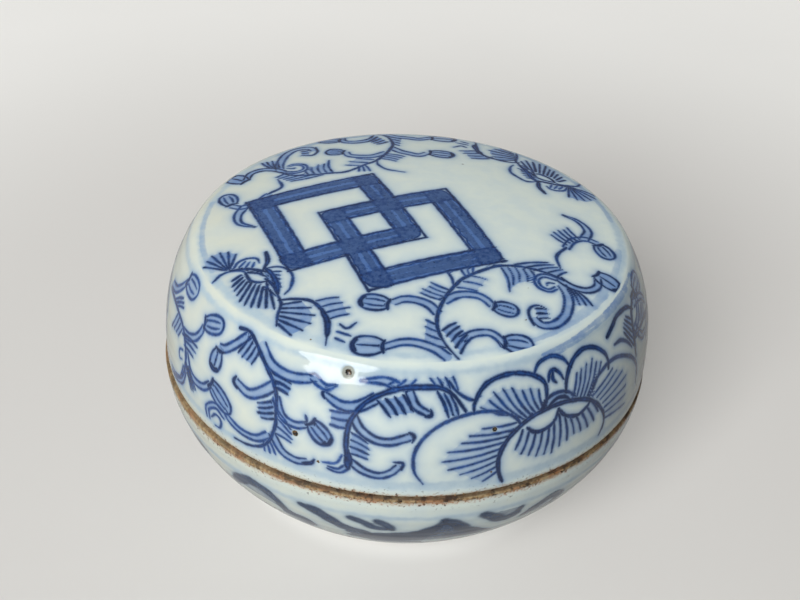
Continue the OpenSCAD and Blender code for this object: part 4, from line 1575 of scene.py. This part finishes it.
def build_paste(shape, colours):
    """The heaped, kneaded cake of paste on the bowl's floor."""
    pot = Turned()
    wall_t = shape.bowl_wall / MM + shape.paste_gap / MM
    drop = shape.paste_edge_drop / MM
    edge_z = PASTE_TOP - drop
    heights = np.linspace(PASTE_FLOOR, edge_z, 12)
    outer, slope = bowl_wall(shape, heights)
    side = np.stack([outer - wall_t * np.sqrt(1 + slope**2), heights], 1)
    edge_r, floor_r = side[-1, 0], side[0, 0]
    grid_r = edge_r * 0.94

    def top(radius):
        return edge_z + drop * (1 - (radius / edge_r) ** 2)

    rim = np.linspace(grid_r, edge_r, 6)
    stretches = [
        (np.stack([rim, top(rim)], 1), 0.45, PASTE_AROUND),
        (side[::-1], 0.9, PASTE_AROUND // 2),
        ([side[0], (floor_r * 0.5, PASTE_FLOOR)], 3.0, PASTE_AROUND // 4),
        ([(floor_r * 0.5, PASTE_FLOOR), (HUB, PASTE_FLOOR)], 4.0, PASTE_AROUND // 8),
    ]
    ring, starts = pot.rows(pot.panel(grid_r, top, PASTE_QUADS), stretches, 0.6)
    pot.close(ring, PASTE_FLOOR, starts[-1], upward=False)
    points, radius, angle, travel = pot.arrays()
    edge, floor = starts[1], starts[2]

    # The kneading fades from the middle to the rim, and down the side to nothing at the floor
    surface = travel < floor
    lifts, folds = np.zeros(len(points)), np.zeros(len(points))
    lifts[surface], folds[surface] = kneading(points[surface], radius[surface], angle[surface])
    share = RIM_SHARE * ease(floor + 0.1, edge - 2.5, np.where(points[:, 2] > edge_z, 0, travel))
    on_grid = travel == 0
    share[on_grid] = 1 - (1 - RIM_SHARE) * ease(grid_r - 3, grid_r, radius[on_grid])
    points[:, 2] = np.minimum(points[:, 2] + lifts * share, PASTE_TOP + 0.2)
    piece = make_piece("paste_cake", points, pot.faces, {"fold": folds}, paste_material(colours))
    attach(piece, "bowl")
    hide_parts("seal_paste")
    return piece


def round_grain():
    """The corners and the faces of a grain before it is dented."""
    mesh = bpy.data.meshes.new("grain")
    ball = bmesh.new()
    bmesh.ops.create_icosphere(ball, subdivisions=1, radius=1.0)
    ball.to_mesh(mesh)
    ball.free()
    corners = np.array([corner.co for corner in mesh.vertices])
    faces = np.array([list(face.vertices) for face in mesh.polygons])
    bpy.data.meshes.remove(mesh)
    return corners, faces


def build_grit(name, body, radius, height, count, sizes, seed, colours):
    """Small rough grains that stuck to a rim in the kiln, as one piece."""
    random = np.random.default_rng(seed)
    ball, ball_faces = round_grain()
    points, faces = [], []
    for number in range(count):
        angle = random.uniform(0, 2 * math.pi)
        size = random.uniform(*sizes)
        dented = ball * (1 + random.normal(0, 0.16, (len(ball), 1))) * size
        flattened = dented * (1, 1, random.uniform(0.5, 0.9))
        centre = (radius * math.cos(angle), radius * math.sin(angle), height + random.normal(0, 0.12))
        faces += (ball_faces + len(ball) * number).tolist()
        points.append(flattened + centre)
    material = bpy.data.materials.get("kiln_grit") or grit_material(colours)
    piece = make_piece(name, np.vstack(points), faces, {}, material)
    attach(piece, body)
    return piece


# Stage

# Pixel at which the camera sees the middle of the rim, in an image of this size, and the sensor's width
AIM_PIXEL = (405.6, 330.1)
IMAGE_SIZE = (800, 600)
SENSOR = 36.0

# The middle of the rim, which the camera and the lamps look at
MIDDLE = Vector((0, 0, RIM_Z * MM))


def place_camera(stage):
    """Sets the camera in front of the box, with the middle of the rim at the aimed pixel."""
    data = bpy.data.cameras.new("camera")
    data.sensor_width = SENSOR
    data.lens = stage.lens
    data.clip_start, data.clip_end = 0.01, 20
    rise = stage.camera_elevation
    back = Vector((0, -math.cos(rise), math.sin(rise)))
    across = Vector((1, 0, 0))
    view = Matrix((across, back.cross(across), back)).transposed()
    roll = Matrix.Rotation(-stage.camera_roll, 3, "Z")
    focal = stage.lens / SENSOR * IMAGE_SIZE[0]
    right, down = AIM_PIXEL[0] - IMAGE_SIZE[0] / 2, AIM_PIXEL[1] - IMAGE_SIZE[1] / 2
    swing = Vector((0, 0, -1)).rotation_difference(Vector((right / focal, -down / focal, -1))).to_matrix()
    turned = (view @ roll @ swing.transposed()).to_4x4()
    camera = link_object("camera", data)
    camera.matrix_world = Matrix.Translation(MIDDLE + back * stage.camera_distance) @ turned
    bpy.context.scene.camera = camera


def place_lamp(name, form, turn, height, distance, size, power):
    """An area lamp that looks at the middle of the rim from a bearing and a height. form is its outline."""
    data = bpy.data.lights.new(name, "AREA")
    data.shape = form
    data.size, data.size_y = size
    data.energy = power
    lamp = link_object(name, data)
    level = math.cos(height)
    away = Vector((math.cos(turn) * level, math.sin(turn) * level, math.sin(height)))
    lamp.location = MIDDLE + away * distance
    lamp.rotation_mode = "QUATERNION"
    lamp.rotation_quaternion = away.to_track_quat("Z", "Y")
    return lamp


def light_sky(stage):
    """A dim room all round, which the glaze mirrors brighter. The camera sees the table top's tint."""
    world = bpy.data.worlds.new("studio")
    world.use_nodes = True
    make = Maker(world.node_tree)
    path = make.node("LightPath").outputs
    rightward = make.to_right(make.node("TexCoord").outputs["Generated"])
    mirrored = make.times(make.maths("MULTIPLY_ADD", rightward, -0.5, 0.75), stage.sky_gloss)
    light = make.maths("MULTIPLY_ADD", mirrored, path["Is Glossy Ray"], stage.sky_strength)
    sky = make.node("Background", {"Color": stage.sky, "Strength": light})
    plain = make.node("Background", {"Color": stage.floor, "Strength": 1.0})
    seen = make.node("MixShader", {0: path["Is Camera Ray"], 1: sky.outputs[0], 2: plain.outputs[0]})
    make.node("OutputWorld", {"Surface": seen.outputs[0]})
    bpy.context.scene.world = world


def build_stage(stage):
    """The table top, the lamps, the room and the camera."""
    turns = np.linspace(0, 2 * math.pi, 96, endpoint=False)
    ring = [(stage.table_reach * math.cos(a), stage.table_reach * math.sin(a), 0) for a in turns]
    mesh = bpy.data.meshes.new("floor")
    mesh.from_pydata(ring, [], [list(range(len(ring)))])
    mesh.materials.append(floor_material(stage.floor, stage.floor_painted_shade, stage.bounce))
    floor = link_object("floor", mesh)
    window = place_lamp("window", "ELLIPSE", stage.window_turn, stage.window_height, stage.window_distance,
                        (stage.window_width, stage.window_rise), stage.window_power)
    key = place_lamp("key", "RECTANGLE", stage.key_turn, stage.key_height, stage.lamp_distance,
                     (stage.lamp_size, stage.lamp_size), stage.key_power)
    behind = place_lamp("back", "RECTANGLE", stage.back_turn, stage.back_height, stage.lamp_distance,
                        (stage.lamp_size, stage.lamp_size), stage.back_power)
    # The window only shows mirrored in the glaze, and the two lamps only light the box
    window.visible_diffuse = False
    key.visible_glossy = False
    behind.visible_glossy = False
    behind.data.use_shadow = False
    light_sky(stage)
    place_camera(stage)
    bpy.context.scene.view_settings.view_transform = "Standard"


class SEALBOX_OT_stage(bpy.types.Operator):
    """Add the floor, the lamps and the camera"""

    bl_idname = "sealbox.stage"
    bl_label = "Stage"

    def execute(self, context):
        build_stage(context.scene.seal_box_stage)
        return {"FINISHED"}


class SEALBOX_OT_lid(bpy.types.Operator):
    """Build the painted porcelain lid"""

    bl_idname = "sealbox.lid"
    bl_label = "Lid"

    def execute(self, context):
        build_lid(context.scene.seal_box_shape, context.scene.seal_box_colours)
        return {"FINISHED"}


class SEALBOX_OT_bowl(bpy.types.Operator):
    """Build the painted porcelain bowl"""

    bl_idname = "sealbox.bowl"
    bl_label = "Bowl"

    def execute(self, context):
        build_bowl(context.scene.seal_box_shape, context.scene.seal_box_colours)
        return {"FINISHED"}


class SEALBOX_OT_paste(bpy.types.Operator):
    """Build the cake of seal paste"""

    bl_idname = "sealbox.paste"
    bl_label = "Seal Paste"

    def execute(self, context):
        build_paste(context.scene.seal_box_shape, context.scene.seal_box_colours)
        return {"FINISHED"}


class SEALBOX_OT_grit(bpy.types.Operator):
    """Scatter the kiln grit along both rims"""

    bl_idname = "sealbox.grit"
    bl_label = "Kiln Grit"

    def execute(self, context):
        colours = context.scene.seal_box_colours
        build_grit("lid_grit", "lid", LID_R - 0.1, RIM_Z + 0.32, count=60, sizes=(0.09, 0.2), seed=5,
                   colours=colours)
        build_grit("bowl_grit", "bowl", BOX_R - 0.12, RIM_Z - 0.5, count=110, sizes=(0.08, 0.2), seed=6,
                   colours=colours)
        return {"FINISHED"}


class SEALBOX_PT_panel(bpy.types.Panel):
    """The seal box's sizes, colours and pieces"""

    bl_idname = "SEALBOX_PT_panel"
    bl_label = "Seal Paste Box"
    bl_space_type = "VIEW_3D"
    bl_region_type = "UI"
    bl_category = "Seal Box"

    def draw(self, context):
        layout = self.layout
        for operator in OPERATORS:
            layout.operator(operator.bl_idname)
        scene = context.scene
        for group in (scene.seal_box_shape, scene.seal_box_colours, scene.seal_box_stage):
            box = layout.box()
            for name in group.__annotations__:
                box.prop(group, name)


OPERATORS = (SEALBOX_OT_stage, SEALBOX_OT_lid, SEALBOX_OT_bowl, SEALBOX_OT_paste, SEALBOX_OT_grit)
CLASSES = (SealBoxShape, SealBoxColours, SealBoxStage, *OPERATORS, SEALBOX_PT_panel)


def register():
    """Registers the classes and the scene's settings."""
    for made in CLASSES:
        bpy.utils.register_class(made)
    bpy.types.Scene.seal_box_shape = PointerProperty(type=SealBoxShape)
    bpy.types.Scene.seal_box_colours = PointerProperty(type=SealBoxColours)
    bpy.types.Scene.seal_box_stage = PointerProperty(type=SealBoxStage)


def unregister():
    """Removes the scene's settings and the classes."""
    del bpy.types.Scene.seal_box_stage
    del bpy.types.Scene.seal_box_colours
    del bpy.types.Scene.seal_box_shape
    for made in reversed(CLASSES):
        bpy.utils.unregister_class(made)


def main():
    """Builds everything."""
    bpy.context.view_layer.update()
    register()
    bpy.ops.sealbox.stage()
    bpy.ops.sealbox.lid()
    bpy.ops.sealbox.bowl()
    bpy.ops.sealbox.paste()
    bpy.ops.sealbox.grit()
    bpy.context.view_layer.update()


if __name__ == "__main__":
    main()
